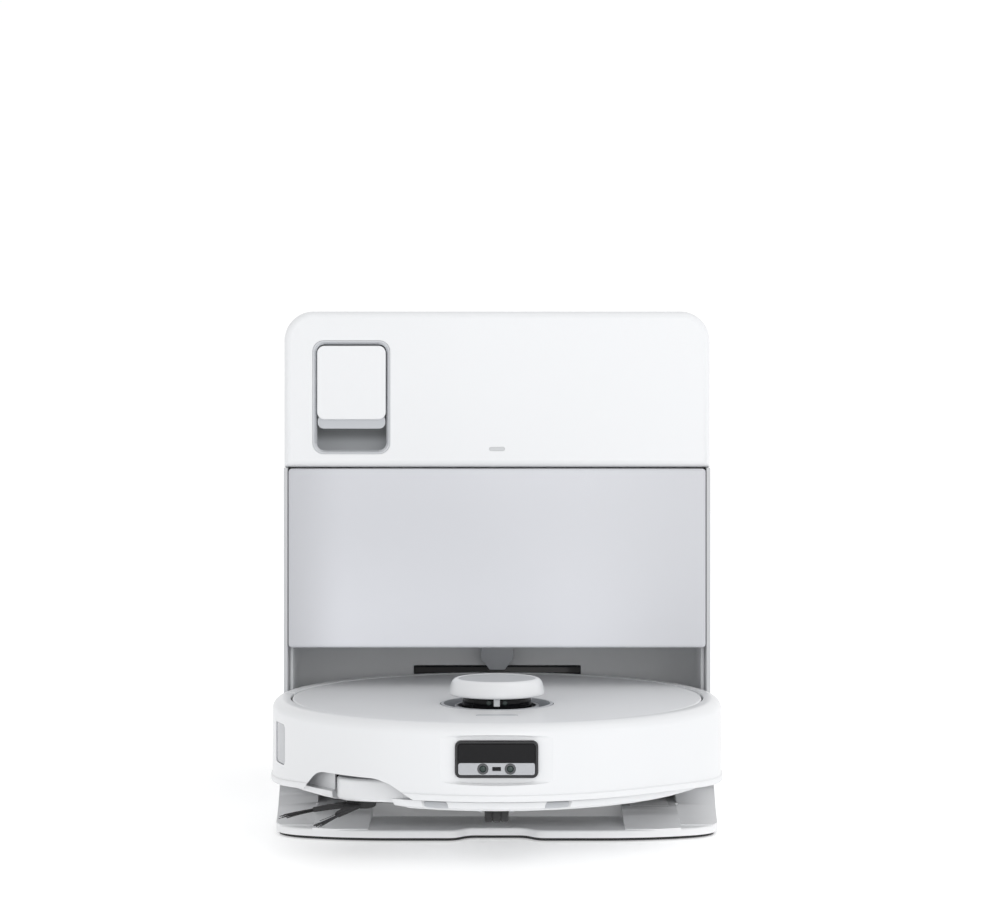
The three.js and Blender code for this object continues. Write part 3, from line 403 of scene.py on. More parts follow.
def glossyWindow(name, colour, rough=0.06, shine=0.2):
    make = Maker(name)
    smear = make.noise(24, 4, (1, 1, 3))
    return make.set(
        Base_Color=make.blend(smear, colour, tuple(c * 1.25 for c in colour)),
        Roughness=smear.over(0.4, 0.8) * 0.07 + rough,
        Specular_IOR_Level=shine,
    )


def goldContact(name):
    make = Maker(name)
    lines = make.noise(260, 3, (1, 1, 30))
    return make.set(
        Base_Color=make.blend(lines, (0.55, 0.33, 0.12), (0.83, 0.6, 0.28)),
        Metallic=1.0,
        Roughness=lines * 0.22 + 0.18,
        Normal=make.bump(lines, 0.2, 0.02 * mm),
    )


def clothFinish(name, colour, loops=420, depth=0.6):
    make = Maker(name)
    tufts = make.cells(loops)
    shade = make.noise(40, 3)
    # the colour darkens in the gaps between the loops, which is painted shade; the noise called shade only
    # adds a faint random mottle
    dark = tuple(c * 0.55 for c in colour)
    return make.set(
        Base_Color=make.blend(tufts.over(0.05, 0.6) * 0.8 + shade * 0.2, colour, dark),
        Roughness=shade * 0.08 + 0.88,
        Sheen_Weight=0.35,
        Normal=make.bump(1 - tufts, 0.9, depth * mm),
    )


def smokedPlastic(name, colour, alpha):
    make = Maker(name)
    cloud = make.noise(14, 3)
    return make.set(
        Base_Color=make.blend(cloud, colour, tuple(c * 0.9 for c in colour)),
        Roughness=cloud * 0.1 + 0.08,
        Alpha=alpha,
        Coat_Weight=0.4,
        Coat_Roughness=0.05,
    )


# painted light and shade, laid into a material's colour: an axis, where the change starts and ends in metres,
# and the tone at its end
# the grey panel: painted light towards its foot, painted shade towards its left and right sides
panelPaintedShading = [("Z", 0.25, 0.11, 1.2), ("X", -0.12, -0.176, 0.82), ("X", 0.05, 0.176, 0.9)]
# the top cover: painted light towards its right side
coverPaintedLight = [("X", 0.0, 0.15, 1.15)]
# the finger scoop: painted shade towards its top, under the cartridge
scoopPaintedShade = [("Z", 0.297, 0.306, 0.5)]

finishes = {
    "white": mouldedPlastic("white_shell", (0.79, 0.8, 0.815), 0.34, coat=0.2),
    "cabinet": mouldedPlastic("cabinet_white", (0.54, 0.55, 0.565), 0.4, grain=1500, skin=0.04),
    "panel": mouldedPlastic("satin_grey_panel", (0.6, 0.61, 0.645), 0.26, grain=3200, coat=0.35, drift=0.02,
                            paintedShading=panelPaintedShading),
    "liner": mouldedPlastic("bay_grey", (0.82, 0.83, 0.845), 0.5, grain=1100, skin=0.06),
    "base": mouldedPlastic("base_white", (0.84, 0.845, 0.855), 0.42, grain=1300, skin=0.05),
    "trim": mouldedPlastic("trim_grey", (0.5, 0.515, 0.54), 0.38, grain=1700, skin=0.04),
    "black": mouldedPlastic("black_plastic", (0.018, 0.018, 0.02), 0.35, grain=1500, skin=0.05, drift=0.2),
    "glass": glossyWindow("black_window", (0.006, 0.006, 0.007)),
    "rubber": rubberFinish("black_rubber", (0.018, 0.018, 0.019)),
    "metal": goldContact("gold_contact"),
    "silver": mouldedPlastic("silver_strip", (0.42, 0.43, 0.45), 0.3, grain=4000, metallic=0.55, coat=0.3),
    "tank": smokedPlastic("smoked_tank", (0.3, 0.34, 0.38), 0.72),
    "cover": mouldedPlastic("cover_white", (0.76, 0.77, 0.785), 0.36, grain=2000, skin=0.03, coat=0.1,
                            paintedShading=coverPaintedLight),
    "lens": glossyWindow("coated_lens", (0.02, 0.035, 0.032), 0.04, 0.5),
    "rim": mouldedPlastic("pocket_rim_grey", (0.56, 0.575, 0.6), 0.35, grain=1700, skin=0.03),
    "inlay": mouldedPlastic("turret_inlay_grey", (0.42, 0.43, 0.445), 0.42, grain=3000, skin=0.02),
    "light": mouldedPlastic("light_guide", (0.58, 0.59, 0.605), 0.4, grain=3000, skin=0.01),
    "paleWindow": glossyWindow("pale_window", (0.4, 0.41, 0.43), 0.12, 0.5),
    "scoop": mouldedPlastic("pocket_scoop_grey", (0.72, 0.74, 0.76), 0.5, grain=1500, skin=0.04,
                            paintedShading=scoopPaintedShade),
    "bristle": mouldedPlastic("nylon_bristle", (0.02, 0.02, 0.022), 0.45, drift=0.3),
    "fabric": clothFinish("looped_microfibre", (0.33, 0.35, 0.38)),
    "bag": clothFinish("bag_paper", (0.62, 0.58, 0.48), 900, 0.12),
    "grey": mouldedPlastic("dark_grey_plastic", (0.09, 0.093, 0.1), 0.42, grain=1500, skin=0.05, drift=0.1),
}
print("materials made:", len(finishes))

# a level camera in front of the robot
view = {"lens": 72.3, "x": 0.0024, "distance": 1.579, "height": 0.286, "reach": 50}
deselectAll()
bpy.ops.object.camera_add(
    location=(view["x"], robotY - view["distance"], view["height"]), rotation=(math.pi / 2, 0, 0))
camera = bpy.context.object
camera.data.lens = view["lens"]
camera.data.clip_end = view["reach"]
bpy.context.scene.camera = camera

bpy.ops.mesh.primitive_plane_add(size=14, location=(0, 2, -0.0005))
floor = bpy.context.object
floor.name = "floor"
floorPaint = Maker("pale_floor")
floorPaint.set(
    Base_Color=(0.94, 0.942, 0.945),
    Roughness=floorPaint.noise(3, 2) * 0.1 + 0.45,
    Emission_Color=(1, 1, 1),
    Emission_Strength=0.3,
)
floor.data.materials.append(floorPaint.material)

lamps = {
    "overhead": {"at": (0.9, -0.7, 2.0), "size": 2.0, "power": 6, "aim": (0, 0, 0.1)},
    "right": {"at": (2.2, -1.7, 0.9), "size": 1.6, "power": 3, "aim": (0, 0, 0.15)},
    "left": {"at": (-2.0, -1.9, 0.7), "size": 1.2, "power": 1.5, "aim": (0, 0, 0.15)},
    "front": {"at": (0.5, -2.9, 0.5), "size": 1.3, "power": 6, "aim": (0, 0, 0.12)},
}
for name, lamp in lamps.items():
    bpy.ops.object.light_add(type="AREA", location=lamp["at"])
    light = bpy.context.object
    light.name = name + "_light"
    light.data.shape = "DISK"
    light.data.size = lamp["size"]
    light.data.energy = lamp["power"]
    light.rotation_euler = (Vector(lamp["aim"]) - Vector(lamp["at"])).to_track_quat("-Z", "Y").to_euler()


# makes the world's nodes as a material's are made
class Sky:
    node = Maker.node
    feed = Maker.feed

    def __init__(self, tree):
        self.tree = tree


# a white studio, a little brighter on the right and dimmer at the far sides and overhead
studio = {"level": 1.06, "right": 0.1, "sides": 0.12, "overhead": 0.5}
world = bpy.data.worlds.new("studio")
bpy.context.scene.world = world
world.use_nodes = True
sky = Sky(world.node_tree)
ways = sky.node("ShaderNodeSeparateXYZ", {}, sky.node("ShaderNodeTexCoord")).socket.node.outputs
across, up = Signal(sky, ways[0]), Signal(sky, ways[2])
backdrop = world.node_tree.nodes["Background"]
sky.feed(backdrop.inputs["Strength"], across * studio["right"] - across * across * studio["sides"]
         - up * up * studio["overhead"] + studio["level"])
backdrop.inputs["Color"].default_value = (1, 1, 1, 1)
bpy.context.scene.view_settings.view_transform = "Standard"
print("camera and lights set")

robotCentre = (robotX, robotY, groundZ)


# the robot's own millimetres start at its centre, on its ground plane
def onRobot(x, y, z):
    return (robotX + x * mm, robotY + y * mm, groundZ + z * mm)


def robotBox(name, low, high, bevel=0.0):
    return newBox(name, onRobot(*low), onRobot(*high), bevel)


def robotFront(name, x0, x1, z0, z1, y0, y1, corner, bevel=0.0):
    return frontPlate(name, robotX + x0 * mm, robotX + x1 * mm, groundZ + z0 * mm, groundZ + z1 * mm,
                      robotY + y0 * mm, robotY + y1 * mm, corner * mm, bevel * mm)


def robotPlate(name, x0, x1, y0, y1, z0, z1, corner, bevel=0.0):
    return raisedPlate(name, robotX + x0 * mm, robotX + x1 * mm, robotY + y0 * mm, robotY + y1 * mm,
                       groundZ + z0 * mm, groundZ + z1 * mm, corner * mm, bevel * mm)


def robotDrum(name, radius, x, y, z0, z1, sides=96, bevel=0.0):
    return newDrum(name, radius * mm, onRobot(x, y, (z0 + z1) / 2), (z1 - z0) * mm, "Z", sides, bevel * mm)


def robotRod(name, radius, x, y0, y1, z, sides=48, bevel=0.0):
    return newDrum(name, radius * mm, onRobot(x, (y0 + y1) / 2, z), (y1 - y0) * mm, "Y", sides, bevel * mm)


# keeps what lies on one side of a plane across the robot, and closes the cut
def keepSide(piece, y, front):
    editAll(piece)
    bpy.ops.mesh.bisect(plane_co=onRobot(0, y, 0), plane_no=(0, 1, 0), use_fill=True,
                        clear_outer=front, clear_inner=not front)
    leaveEdit()


# the section that the bumper and the rear shell share
shell = {"skirt": 176.5, "body": 175.2, "lip": 161.2, "low": 20.5, "band": 5.5, "top": 75.0,
         "round": 8.0, "wall": 2.4, "dip": 8.0, "splitY": 12.0, "splitGap": 3.6, "steps": 192}


def shellSection():
    low, top, wall, bend = shell["low"], shell["top"], shell["wall"], shell["round"]
    body, skirt = shell["body"], shell["skirt"]
    outside = [(skirt - 3, low), (skirt - 1, low), (skirt - 0.3, low + 0.3), (skirt, low + 1),
               (skirt, low + 3.6), (skirt - 0.25, low + 4.3), (skirt - 0.9, low + 4.7),
               (body, low + 5.1), (body, low + 7)]
    shoulder = arcPoints(body - bend, top - bend, bend, 0, 90, 12)
    lip = [(shell["lip"] + 0.5, top), (shell["lip"], top - 0.5), (shell["lip"], top - wall)]
    inside = arcPoints(body - bend, top - bend, bend - wall, 90, 0, 6)
    return outside + shoulder + lip + inside + [(body - wall, low + shell["band"])]


# the skirt hangs lower at the sides than at the front
def lowerSides(piece):
    for vertex in piece.data.vertices:
        y = (vertex.co.y - robotY) / mm
        z = (vertex.co.z - groundZ) / mm
        share = min(1, max(0, (y + 150) / 130))
        depth = min(1, max(0, (shell["low"] + shell["band"] + 14 - z) / 14))
        vertex.co.z -= shell["dip"] * share * share * (3 - 2 * share) * depth * mm


# the sensors stand on a flat facet of the bumper, at the back of a shallow scoop
nose = {"facetHalf": 44.0, "facetLow": 31.1, "facetHigh": 69.0, "facetThick": 3.4, "within": 174.8,
        "scoopHalf": 60.0, "scoopLow": 31.0, "scoopHigh": 68.6, "scoopDeep": 7.0, "middle": 49.9,
        "narrowing": 0.86, "windowGap": 0.3}
wallSensor = {"half": 13.5, "low": 31.0, "high": 61.0, "corner": 4.0, "turn": -69.5, "gap": 0.4,
              "inner": 172.8, "outer": 174.3}
sensor = {"half": 29.0, "low": 37.1, "high": 63.0, "face": -173.2, "recess": -170.7, "corner": 4.0,
          "stripTop": 47.7, "lensX": 9.6, "lensZ": 43.5}


def makeBumper():
    bumper = turnProfile("bumper_shell", shellSection(), robotCentre, shell["steps"], closed=True)
    keepSide(bumper, shell["splitY"], front=True)
    recess, half, gap = sensor["recess"], nose["facetHalf"], nose["windowGap"]
    back = robotBox("facet_back", (-half, recess, nose["facetLow"]),
                    (half, recess + nose["facetThick"], nose["facetHigh"]))
    cutWith(back, robotDrum("inside", nose["within"], 0, 0, 0, 90, 192), operation="INTERSECT")
    cutWith(bumper, back, operation="UNION")
    lowerSides(bumper)
    # the scoop is narrower at its floor
    scoop = robotFront("scoop", -nose["scoopHalf"], nose["scoopHalf"], nose["scoopLow"], nose["scoopHigh"],
                       recess, recess - nose["scoopDeep"], 7)
    for vertex in scoop.data.vertices:
        if vertex.co.y > robotY + (recess - 1) * mm:
            middle = groundZ + nose["middle"] * mm
            vertex.co.z = middle + (vertex.co.z - middle) * nose["narrowing"]
    bevelEdges(scoop, 1.6 * mm, 4, 40)
    window = robotFront("window", -sensor["half"] - gap, sensor["half"] + gap, sensor["low"] - gap,
                        sensor["high"] + gap, -200, -150, sensor["corner"] + gap)
    lip = robotDrum("lip", shell["lip"], 0, -2.6, 68.5, 80, 192)
    # an opening under the bumper for the side brush
    hubX = sideBrush["hub"][0]
    notchLine = [(-44, 0), (-44, 18.5), (-35, 30.5), (-30, 33.5), (12, 33.5), (22, 30.5), (41, 19.5), (46, 0)]
    notch = pushOutline("notch", [onRobot(hubX + x, -200, z) for x, z in notchLine], (0, 0.14, 0))
    bevelEdges(notch, 4 * mm, 5, 15)
    cutWith(bumper, scoop, window, lip, notch, wallSensorBlock("slot", wallSensor["gap"]))
    bevelEdges(bumper, 0.35 * mm, 2, 38)
    finishPiece(bumper, "bumper_ring", "white", "bumper", shade=38)


# turns a piece about the robot's upright axis
def turnAbout(piece, degrees):
    c, s = math.cos(math.radians(degrees)), math.sin(math.radians(degrees))
    for vertex in piece.data.vertices:
        x, y = vertex.co.x - robotX, vertex.co.y - robotY
        vertex.co.x, vertex.co.y = robotX + c * x - s * y, robotY + s * x + c * y


# the outline of the wall sensor's window, on the robot's side
def wallSensorBlock(name, gap):
    half, low, high = wallSensor["half"] + gap, wallSensor["low"] - gap, wallSensor["high"] + gap
    block = robotFront(name, -half, half, low, high, -190, -160, wallSensor["corner"] + gap)
    turnAbout(block, wallSensor["turn"])
    return block


rearShell = {"contactX": 32.0, "contactHalf": 9.0, "contactLow": 17.0, "contactHigh": 37.0,
             "outletPitch": 26.0, "outletHalf": 10.0, "outletLow": 46.0, "outletHigh": 50.0}


def makeRearShell():
    rear = turnProfile("rear_shell_fine", shellSection(), robotCentre, shell["steps"], closed=True)
    keepSide(rear, shell["splitY"] + shell["splitGap"], front=False)
    lowerSides(rear)
    low, high, half = rearShell["contactLow"], rearShell["contactHigh"], rearShell["contactHalf"]
    for x in (-rearShell["contactX"], rearShell["contactX"]):
        cutWith(rear, robotBox("strip", (x - half, 150, low), (x + half, 190, high), 2 * mm))
    low, high, half = rearShell["outletLow"], rearShell["outletHigh"], rearShell["outletHalf"]
    for k in (-1, 0, 1):
        x = k * rearShell["outletPitch"]
        cutWith(rear, robotFront("outlet", x - half, x + half, low, high, 150, 190, 1.9))
    bevelEdges(rear, 0.35 * mm, 2, 38)
    finishPiece(rear, "robot", "white", "rear_shell", shade=38)


topCover = {"lugX": 44.0, "lugHalf": 3.0}
button = {"y": -120.0, "half": 15.0, "deep": 4.0, "top": 74.8, "gap": 0.6, "stem": 3.0}
turret = {"y": -50.0, "hole": 43.4, "postTurns": (-90, 30, 150), "postHalf": 2.3, "postLow": 75.5,
          "postHigh": 82.6, "eyeX": 6.0, "eyeZ": 77.7, "socket": 2.2, "lens": 1.9}


def makeTopCover():
    edge = [(0, 71.9), (159, 71.9), (159.8, 72.3), (160, 73), (159.9, 73.7), (159.5, 74.2),
            (158.6, 74.5), (0, 74.5)]
    cover = turnProfile("top_cover_fine", edge, robotCentre, shell["steps"])
    hole = robotDrum("hole", turret["hole"], 0, turret["y"], 60, 90, 128)
    half, deep, y, gap = button["half"], button["deep"], button["y"], button["gap"]
    opening = robotPlate("button", -half - gap, half + gap, y - deep - gap, y + deep + gap, 60, 90, 4.5)
    cutWith(cover, hole, opening)
    wide = topCover["lugHalf"]
    lugs = [robotBox("lug", (x - wide, 149, 69.8), (x + wide, 152.5, 72.4), 0.4 * mm)
            for x in (-topCover["lugX"], topCover["lugX"])]
    cutWith(cover, *lugs, operation="UNION")
    bevelEdges(cover, 0.3 * mm, 2, 40)
    finishPiece(cover, "cover", "cover", "top_cover", shade=38)
    cap = robotPlate("start_button_cap", -half, half, y - deep, y + deep, 66, button["top"], 3.9, 0.5)
    stem = robotDrum("stem", button["stem"], 0, y, 60.5, 67, 32)
    cutWith(cap, stem, operation="UNION")
    finishPiece(cap, "button", "trim", "start_button")


def makeTurret():
    atTurret = onRobot(0, turret["y"], 0)
    collar = [(0, 54), (40, 54), (40, 67.5), (39.4, 68.1), (33, 71.2), (32, 72), (32, 73.2), (31.7, 73.5),
              (29.9, 73.5), (29.6, 73.2), (29.6, 57), (0, 57)]
    ring = turnProfile("turret_collar", collar, atTurret, 128)
    finishPiece(ring, "robot", "trim", "turret_base")
    top = [(0, 91.6), (29, 91.6), (33, 83.5), (28.2, 82.1), (27.6, 81.8), (27.6, 81.5), (34.6, 81.5),
           (35.5, 81.8), (36, 82.6), (36, 84), (35.7, 86.4), (35.1, 89), (34.3, 91.2), (33.4, 92.6),
           (32.3, 93.5), (31.2, 93.9), (30.3, 94), (29.8, 93.9), (29.6, 93.5), (0, 93.5)]
    cap = turnProfile("turret_cap_fine", top, atTurret, 160)
    posts = []
    half = turret["postHalf"]
    for degrees in turret["postTurns"]:
        post = robotBox("post", (27.8, -half, turret["postLow"]), (29.6, half, turret["postHigh"]), 0.4 * mm)
        turnAbout(post, degrees)
        for vertex in post.data.vertices:
            vertex.co.y += turret["y"] * mm
        posts.append(post)
    cutWith(cap, *posts, operation="UNION")
    finishPiece(cap, "turret_cap", "white", "lidar_cap", shade=42)
    disc = [(0, 93.4), (29.2, 93.4), (29.2, 93.6), (28.9, 93.8), (0, 93.8)]
    inlay = turnProfile("turret_inlay", disc, atTurret, 128)
    finishPiece(inlay, "turret_cap", "inlay")
    drum = [(0, 57.8), (26.2, 57.8), (26.6, 58.2), (26.6, 75.4), (26.1, 75.9), (26.1, 79.8), (26.6, 80.3),
            (26.6, 80.6), (26.3, 80.9), (0, 80.9)]
    rotor = turnProfile("range_finder", drum, atTurret, 96)
    y, z = turret["y"], turret["eyeZ"]
    for x in (-turret["eyeX"], turret["eyeX"]):
        cutWith(rotor, robotRod("eye", turret["socket"], x, y - 29, y - 23.6, z))
    finishPiece(rotor, "rotor", "glass", "lidar_rotor")
    for name, x in (("left_eye", -turret["eyeX"]), ("right_eye", turret["eyeX"])):
        eye = robotRod(name + "_lens", turret["lens"], x, y - 25.6, y - 23.4, z, 40, 0.4)
        finishPiece(eye, "rotor", "lens")


# a plate in the middle of the sensor module, with its depth counted from the module's face
def sensorPlate(name, half, z0, z1, y0, y1, corner, bevel=0.0):
    return robotFront(name, -half, half, z0, z1, sensor["face"] + y0, sensor["face"] + y1, corner, bevel)


def makeSensors():
    face, half, low, high = sensor["face"], sensor["half"], sensor["low"], sensor["high"]
    stripTop, lensX, lensZ = sensor["stripTop"], sensor["lensX"], sensor["lensZ"]
    frameRim = sensorPlate("sensor_bezel", half, low, high, 0, 8, sensor["corner"], 0.7)
    cutWith(frameRim, sensorPlate("pocket", half - 1.6, low + 1.6, high - 1.6, -2, 3, 2.4))
    bevelEdges(frameRim, 0.2 * mm, 2, 50)
    finishPiece(frameRim, "bumper_ring", "black", "sensor_frame")
    pane = sensorPlate("sensor_pane", half - 2, stripTop + 0.3, high - 2, 0.3, 2.8, 1.8, 0.35)
    finishPiece(pane, "bumper_ring", "glass", "sensor_window")
    strip = sensorPlate("sensor_strip", half - 2, low + 2, stripTop, 0.5, 2.8, 1.8, 0.25)
    holes = [robotRod("hole", 3.9, x, face - 2, face + 9, lensZ) for x in (-lensX, lensX)]
    middle = sensorPlate("middle", 3.2, lensZ - 1.5, lensZ + 1.5, -1, 1.5, 0.6)
    cutWith(strip, *holes, middle)
    finishPiece(strip, "bumper_ring", "silver", "camera_strip")
    eye = sensorPlate("small_sensor", 3, lensZ - 1.3, lensZ + 1.3, 0.55, 1.6, 0.5, 0.15)
    finishPiece(eye, "bumper_ring", "glass")
    for name, x in (("left", -lensX), ("right", lensX)):
        barrel = robotRod(name + "_lens_barrel", 3.6, x, face + 0.2, face + 2.8, lensZ, 48, 0.25)
        cutWith(barrel, robotRod("bore", 2.5, x, face - 1, face + 1.2, lensZ))
        finishPiece(barrel, "bumper_ring", "grey", name + "_lens")
        deselectAll()
        bpy.ops.mesh.primitive_uv_sphere_add(
            segments=32, ring_count=16, radius=2.45 * mm, location=onRobot(x, face + 1.3, lensZ))
        glass = bpy.context.object
        glass.name = name + "_lens_glass"
        glass.scale = (1, 0.36, 1)
        bakePlace(glass)
        finishPiece(glass, "bumper_ring", "lens")
    # the window of the wall sensor follows the bumper's curve
    inner, outer, low, high = (wallSensor[key] for key in ("inner", "outer", "low", "high"))
    tube = [(inner, low), (outer, low), (outer, high), (inner, high)]
    pane = turnProfile("wall_sensor_pane", tube, robotCentre, shell["steps"], closed=True)
    cutWith(pane, wallSensorBlock("block", 0), operation="INTERSECT")
    finishPiece(pane, "bumper_ring", "paleWindow", "wall_sensor_window")


# two tapered rubber arms, each with a tuft of bristles
sideBrush = {"hub": (-98.1, -116.9), "turns": (198, 245), "bristles": 34, "reach": 63, "droop": 5.2}


def makeSideBrush():
    hubX, hubY = sideBrush["hub"]
    draw = random.Random(7)
    dome = [(0, 7.5), (9, 7.5), (10, 8.2), (11, 11.4), (11, 12.6), (10.4, 13.4), (9.6, 13.6), (0, 13.6)]
    hub = turnProfile("side_brush_hub", dome, onRobot(hubX, hubY, 0), 64)
    arms, tufts = [], []
    for turn in sideBrush["turns"]:
        c, s = math.cos(math.radians(turn)), math.sin(math.radians(turn))

        def along(u, v, z):
            return onRobot(hubX + c * u - s * v, hubY + s * u + c * v, z)

        outline = [(6, -4.4), (18, -4.2), (30, -2.9), (36, -2.2), (37, 0),
                   (36, 2.2), (30, 2.9), (18, 4.2), (6, 4.4)]
        arm = pushOutline("arm", [along(u, v, 8.2) for u, v in outline], (0, 0, 3.2 * mm))
        for vertex in arm.data.vertices:
            u = (vertex.co - Vector(along(0, 0, 0))).dot(Vector((c, s, 0))) / mm
            vertex.co.z -= sideBrush["droop"] * max(0, (u - 12) / 48) * mm
        arms.append(bevelEdges(arm, 0.7 * mm, 3, 40))
        for i in range(sideBrush["bristles"]):
            spread, lift = draw.uniform(-1, 1), draw.uniform(-1, 1)
            reach = sideBrush["reach"] - draw.uniform(0, 9) - abs(spread) * 3
            line = []
            for k in range(6):
                t = k / 5
                u = 32 + (reach - 32) * t
                v = spread * (1.7 + 2.4 * t * t) + 2.2 * t * t * (1 if turn < 220 else -1)
                z = 9.6 + lift - sideBrush["droop"] * (u - 12) / 48 - 0.8 * t * t
                line.append(along(u, v, z))
            tufts.append(hairLine("bristle", line, 0.23 * mm))
    cutWith(hub, *arms, operation="UNION")
    finishPiece(hub, "corner_brush", "rubber", "side_brush")
    tuft = joinPieces(*tufts)
    tuft.name = "side_brush_bristles"
    finishPiece(tuft, "corner_brush", "bristle", shade=60)


# a thin four-sided hair along a line of points
def hairLine(name, line, radius):
    deselectAll()
    bpy.ops.mesh.primitive_circle_add(vertices=4, radius=radius, fill_type="NGON", location=line[0])
    hair = bpy.context.object
    hair.name = name
    direction = Vector(line[1]) - Vector(line[0])
    hair.rotation_euler = direction.to_track_quat("Z", "Y").to_euler()
    bakePlace(hair)
    bpy.ops.object.mode_set(mode="EDIT")
    bpy.ops.mesh.select_all(action="SELECT")
    for here, there in zip(line, line[1:]):
        bpy.ops.mesh.extrude_region_move(TRANSFORM_OT_translate={"value": Vector(there) - Vector(here)})
    bpy.ops.mesh.select_all(action="SELECT")
    bpy.ops.mesh.normals_make_consistent(inside=False)
    leaveEdit()
    return hair


# the arm swings about its pivot and holds the side brush at its other end
sideArm = {"pivot": (-61.9, -128.0), "pivotRound": 15.0, "hubRound": 18.0, "low": 14.0, "thick": 16.5,
           "edge": 2.6, "stem": 6.0}


def makeSideArm():
    px, py = sideArm["pivot"]
    hx, hy = sideBrush["hub"]
    turn = math.degrees(math.atan2(hy - py, hx - px))
    plan = arcPoints(px, py, sideArm["pivotRound"], turn + 90, turn + 270, 24)
    plan += arcPoints(hx, hy, sideArm["hubRound"], turn - 90, turn + 90, 24)
    outline = [onRobot(x, y, sideArm["low"]) for x, y in plan]
    arm = pushOutline("side_arm_fine", outline, (0, 0, sideArm["thick"] * mm))
    bevelEdges(arm, sideArm["edge"] * mm, 5, 50)
    cutWith(arm, robotDrum("stem", sideArm["stem"], px, py, 29, 36, 40, 0.5), operation="UNION")
    finishPiece(arm, "brush_arm", "white", "side_brush_arm")


caster = {"y": -138.0, "axleZ": 9.5, "slotHalf": 10.0, "stem": 4.0}


def makeCaster():
    y, half = caster["y"], caster["slotHalf"]
    profile = [(0, 23.9), (15.3, 23.9), (16, 23.2), (16, 19.5), (13.2, 9), (12.4, 8.1), (0, 8.1)]
    fork = turnProfile("caster_bracket", profile, onRobot(0, y, 0), 64)
    cutWith(fork, robotBox("wheel_slot", (-half, y - 20, 0), (half, y + 20, 20)))
    stem = robotDrum("stem", caster["stem"], 0, y, 23.5, 40, 32, 0.4)
    cutWith(fork, stem, operation="UNION")
    bevelEdges(fork, 0.5 * mm, 2, 40)
    finishPiece(fork, "caster", "trim", "caster_fork")
    # the roller is turned upright, and then laid on its axle
    side = [(0, 8.6), (8, 8.6), (8.9, 8.3), (9.2, 7.4), (9.2, 3.6), (8.5, 3.4), (8.5, 2.6), (9.2, 2.4)]
    line = [(radius, -out) for radius, out in side] + [(radius, out) for radius, out in reversed(side)]
    roller = turnProfile("caster_roller_fine", line, Vector((0, 0, 0)), 72)
    hub = Vector(onRobot(0, y, caster["axleZ"]))
    for vertex in roller.data.vertices:
        vertex.co = hub + Vector((vertex.co.z, vertex.co.x, vertex.co.y))
    finishPiece(roller, "caster_roller", "rubber", "caster_wheel")


wheel = {"track": 121.0, "y": 5.0, "z": 26.3, "width": 20.0, "lugs": 36, "carcass": 30.6, "lugTall": 1.35,
         "lugGap": 0.25, "bore": 25.0, "hub": 24.7, "hubWidth": 18.0, "dish": 21.0, "boss": 7.0,
         "spokes": 5, "spokeHalf": 1.6}


# one bar across the hub's dish, turned about the axle
def newSpoke(at, turn):
    x, ay, az = at
    half = wheel["spokeHalf"] * mm
    spoke = newBox("spoke", (x - 4 * mm, ay - half, az), (x + 4 * mm, ay + half, az + 22 * mm))
    c, s = math.cos(turn), math.sin(turn)
    for vertex in spoke.data.vertices:
        y, z = vertex.co.y - ay, vertex.co.z - az
        vertex.co.y, vertex.co.z = ay + c * y - s * z, az + s * y + c * z
    return spoke


def makeWheel(name, side):
    x = side * wheel["track"]
    centre = onRobot(x, wheel["y"], wheel["z"])
    tyre = newDrum(name + "_tyre_fine", wheel["carcass"] * mm, centre, wheel["width"] * mm, "X",
                   2 * wheel["lugs"])
    # every second facet of the tread is raised into a lug
    selectNothing(tyre)
    bpy.context.tool_settings.mesh_select_mode = (False, False, True)
    tread = [f for f in tyre.data.polygons if abs(f.normal.x) < 0.5]
    tread.sort(key=lambda f: math.atan2(f.normal.z, f.normal.y))
    for face in tread[::2]:
        face.select = True
    bpy.ops.object.mode_set(mode="EDIT")
    bpy.ops.mesh.inset(thickness=wheel["lugGap"] * mm, use_individual=True)
    bpy.ops.mesh.extrude_faces_move(TRANSFORM_OT_shrink_fatten={"value": wheel["lugTall"] * mm})
    leaveEdit()
    cutWith(tyre, newDrum("inside", wheel["bore"] * mm, centre, 40 * mm, "X", 96))
    bevelEdges(tyre, 0.25 * mm, 2, 50)
    finishPiece(tyre, name + "_wheel", "rubber", name + "_tyre", shade=30)
    hub = newDrum(name + "_hub_fine", wheel["hub"] * mm, centre, wheel["hubWidth"] * mm, "X", 96, 0.4 * mm)
    for end in (-1, 1):
        at = onRobot(x + end * 10, wheel["y"], wheel["z"])
        dish = newDrum("dish", wheel["dish"] * mm, at, 6 * mm, "X", 96)
        cutWith(dish, newDrum("boss", wheel["boss"] * mm, at, 8 * mm, "X", 48))
        for k in range(wheel["spokes"]):
            cutWith(dish, newSpoke(at, k * 2 * math.pi / wheel["spokes"]))
        cutWith(hub, dish)
    bevelEdges(hub, 0.3 * mm, 2, 50)
    finishPiece(hub, name + "_wheel", "grey", name + "_wheel_hub")


# the main brush's fins run in a chevron along the roller
mainBrush = {"y": -46.0, "z": 22.0, "half": 84.0, "core": 11.0, "axle": 4.0, "fins": 6, "finHalf": 81.0,
             "twist": 44.0, "steps": 24}


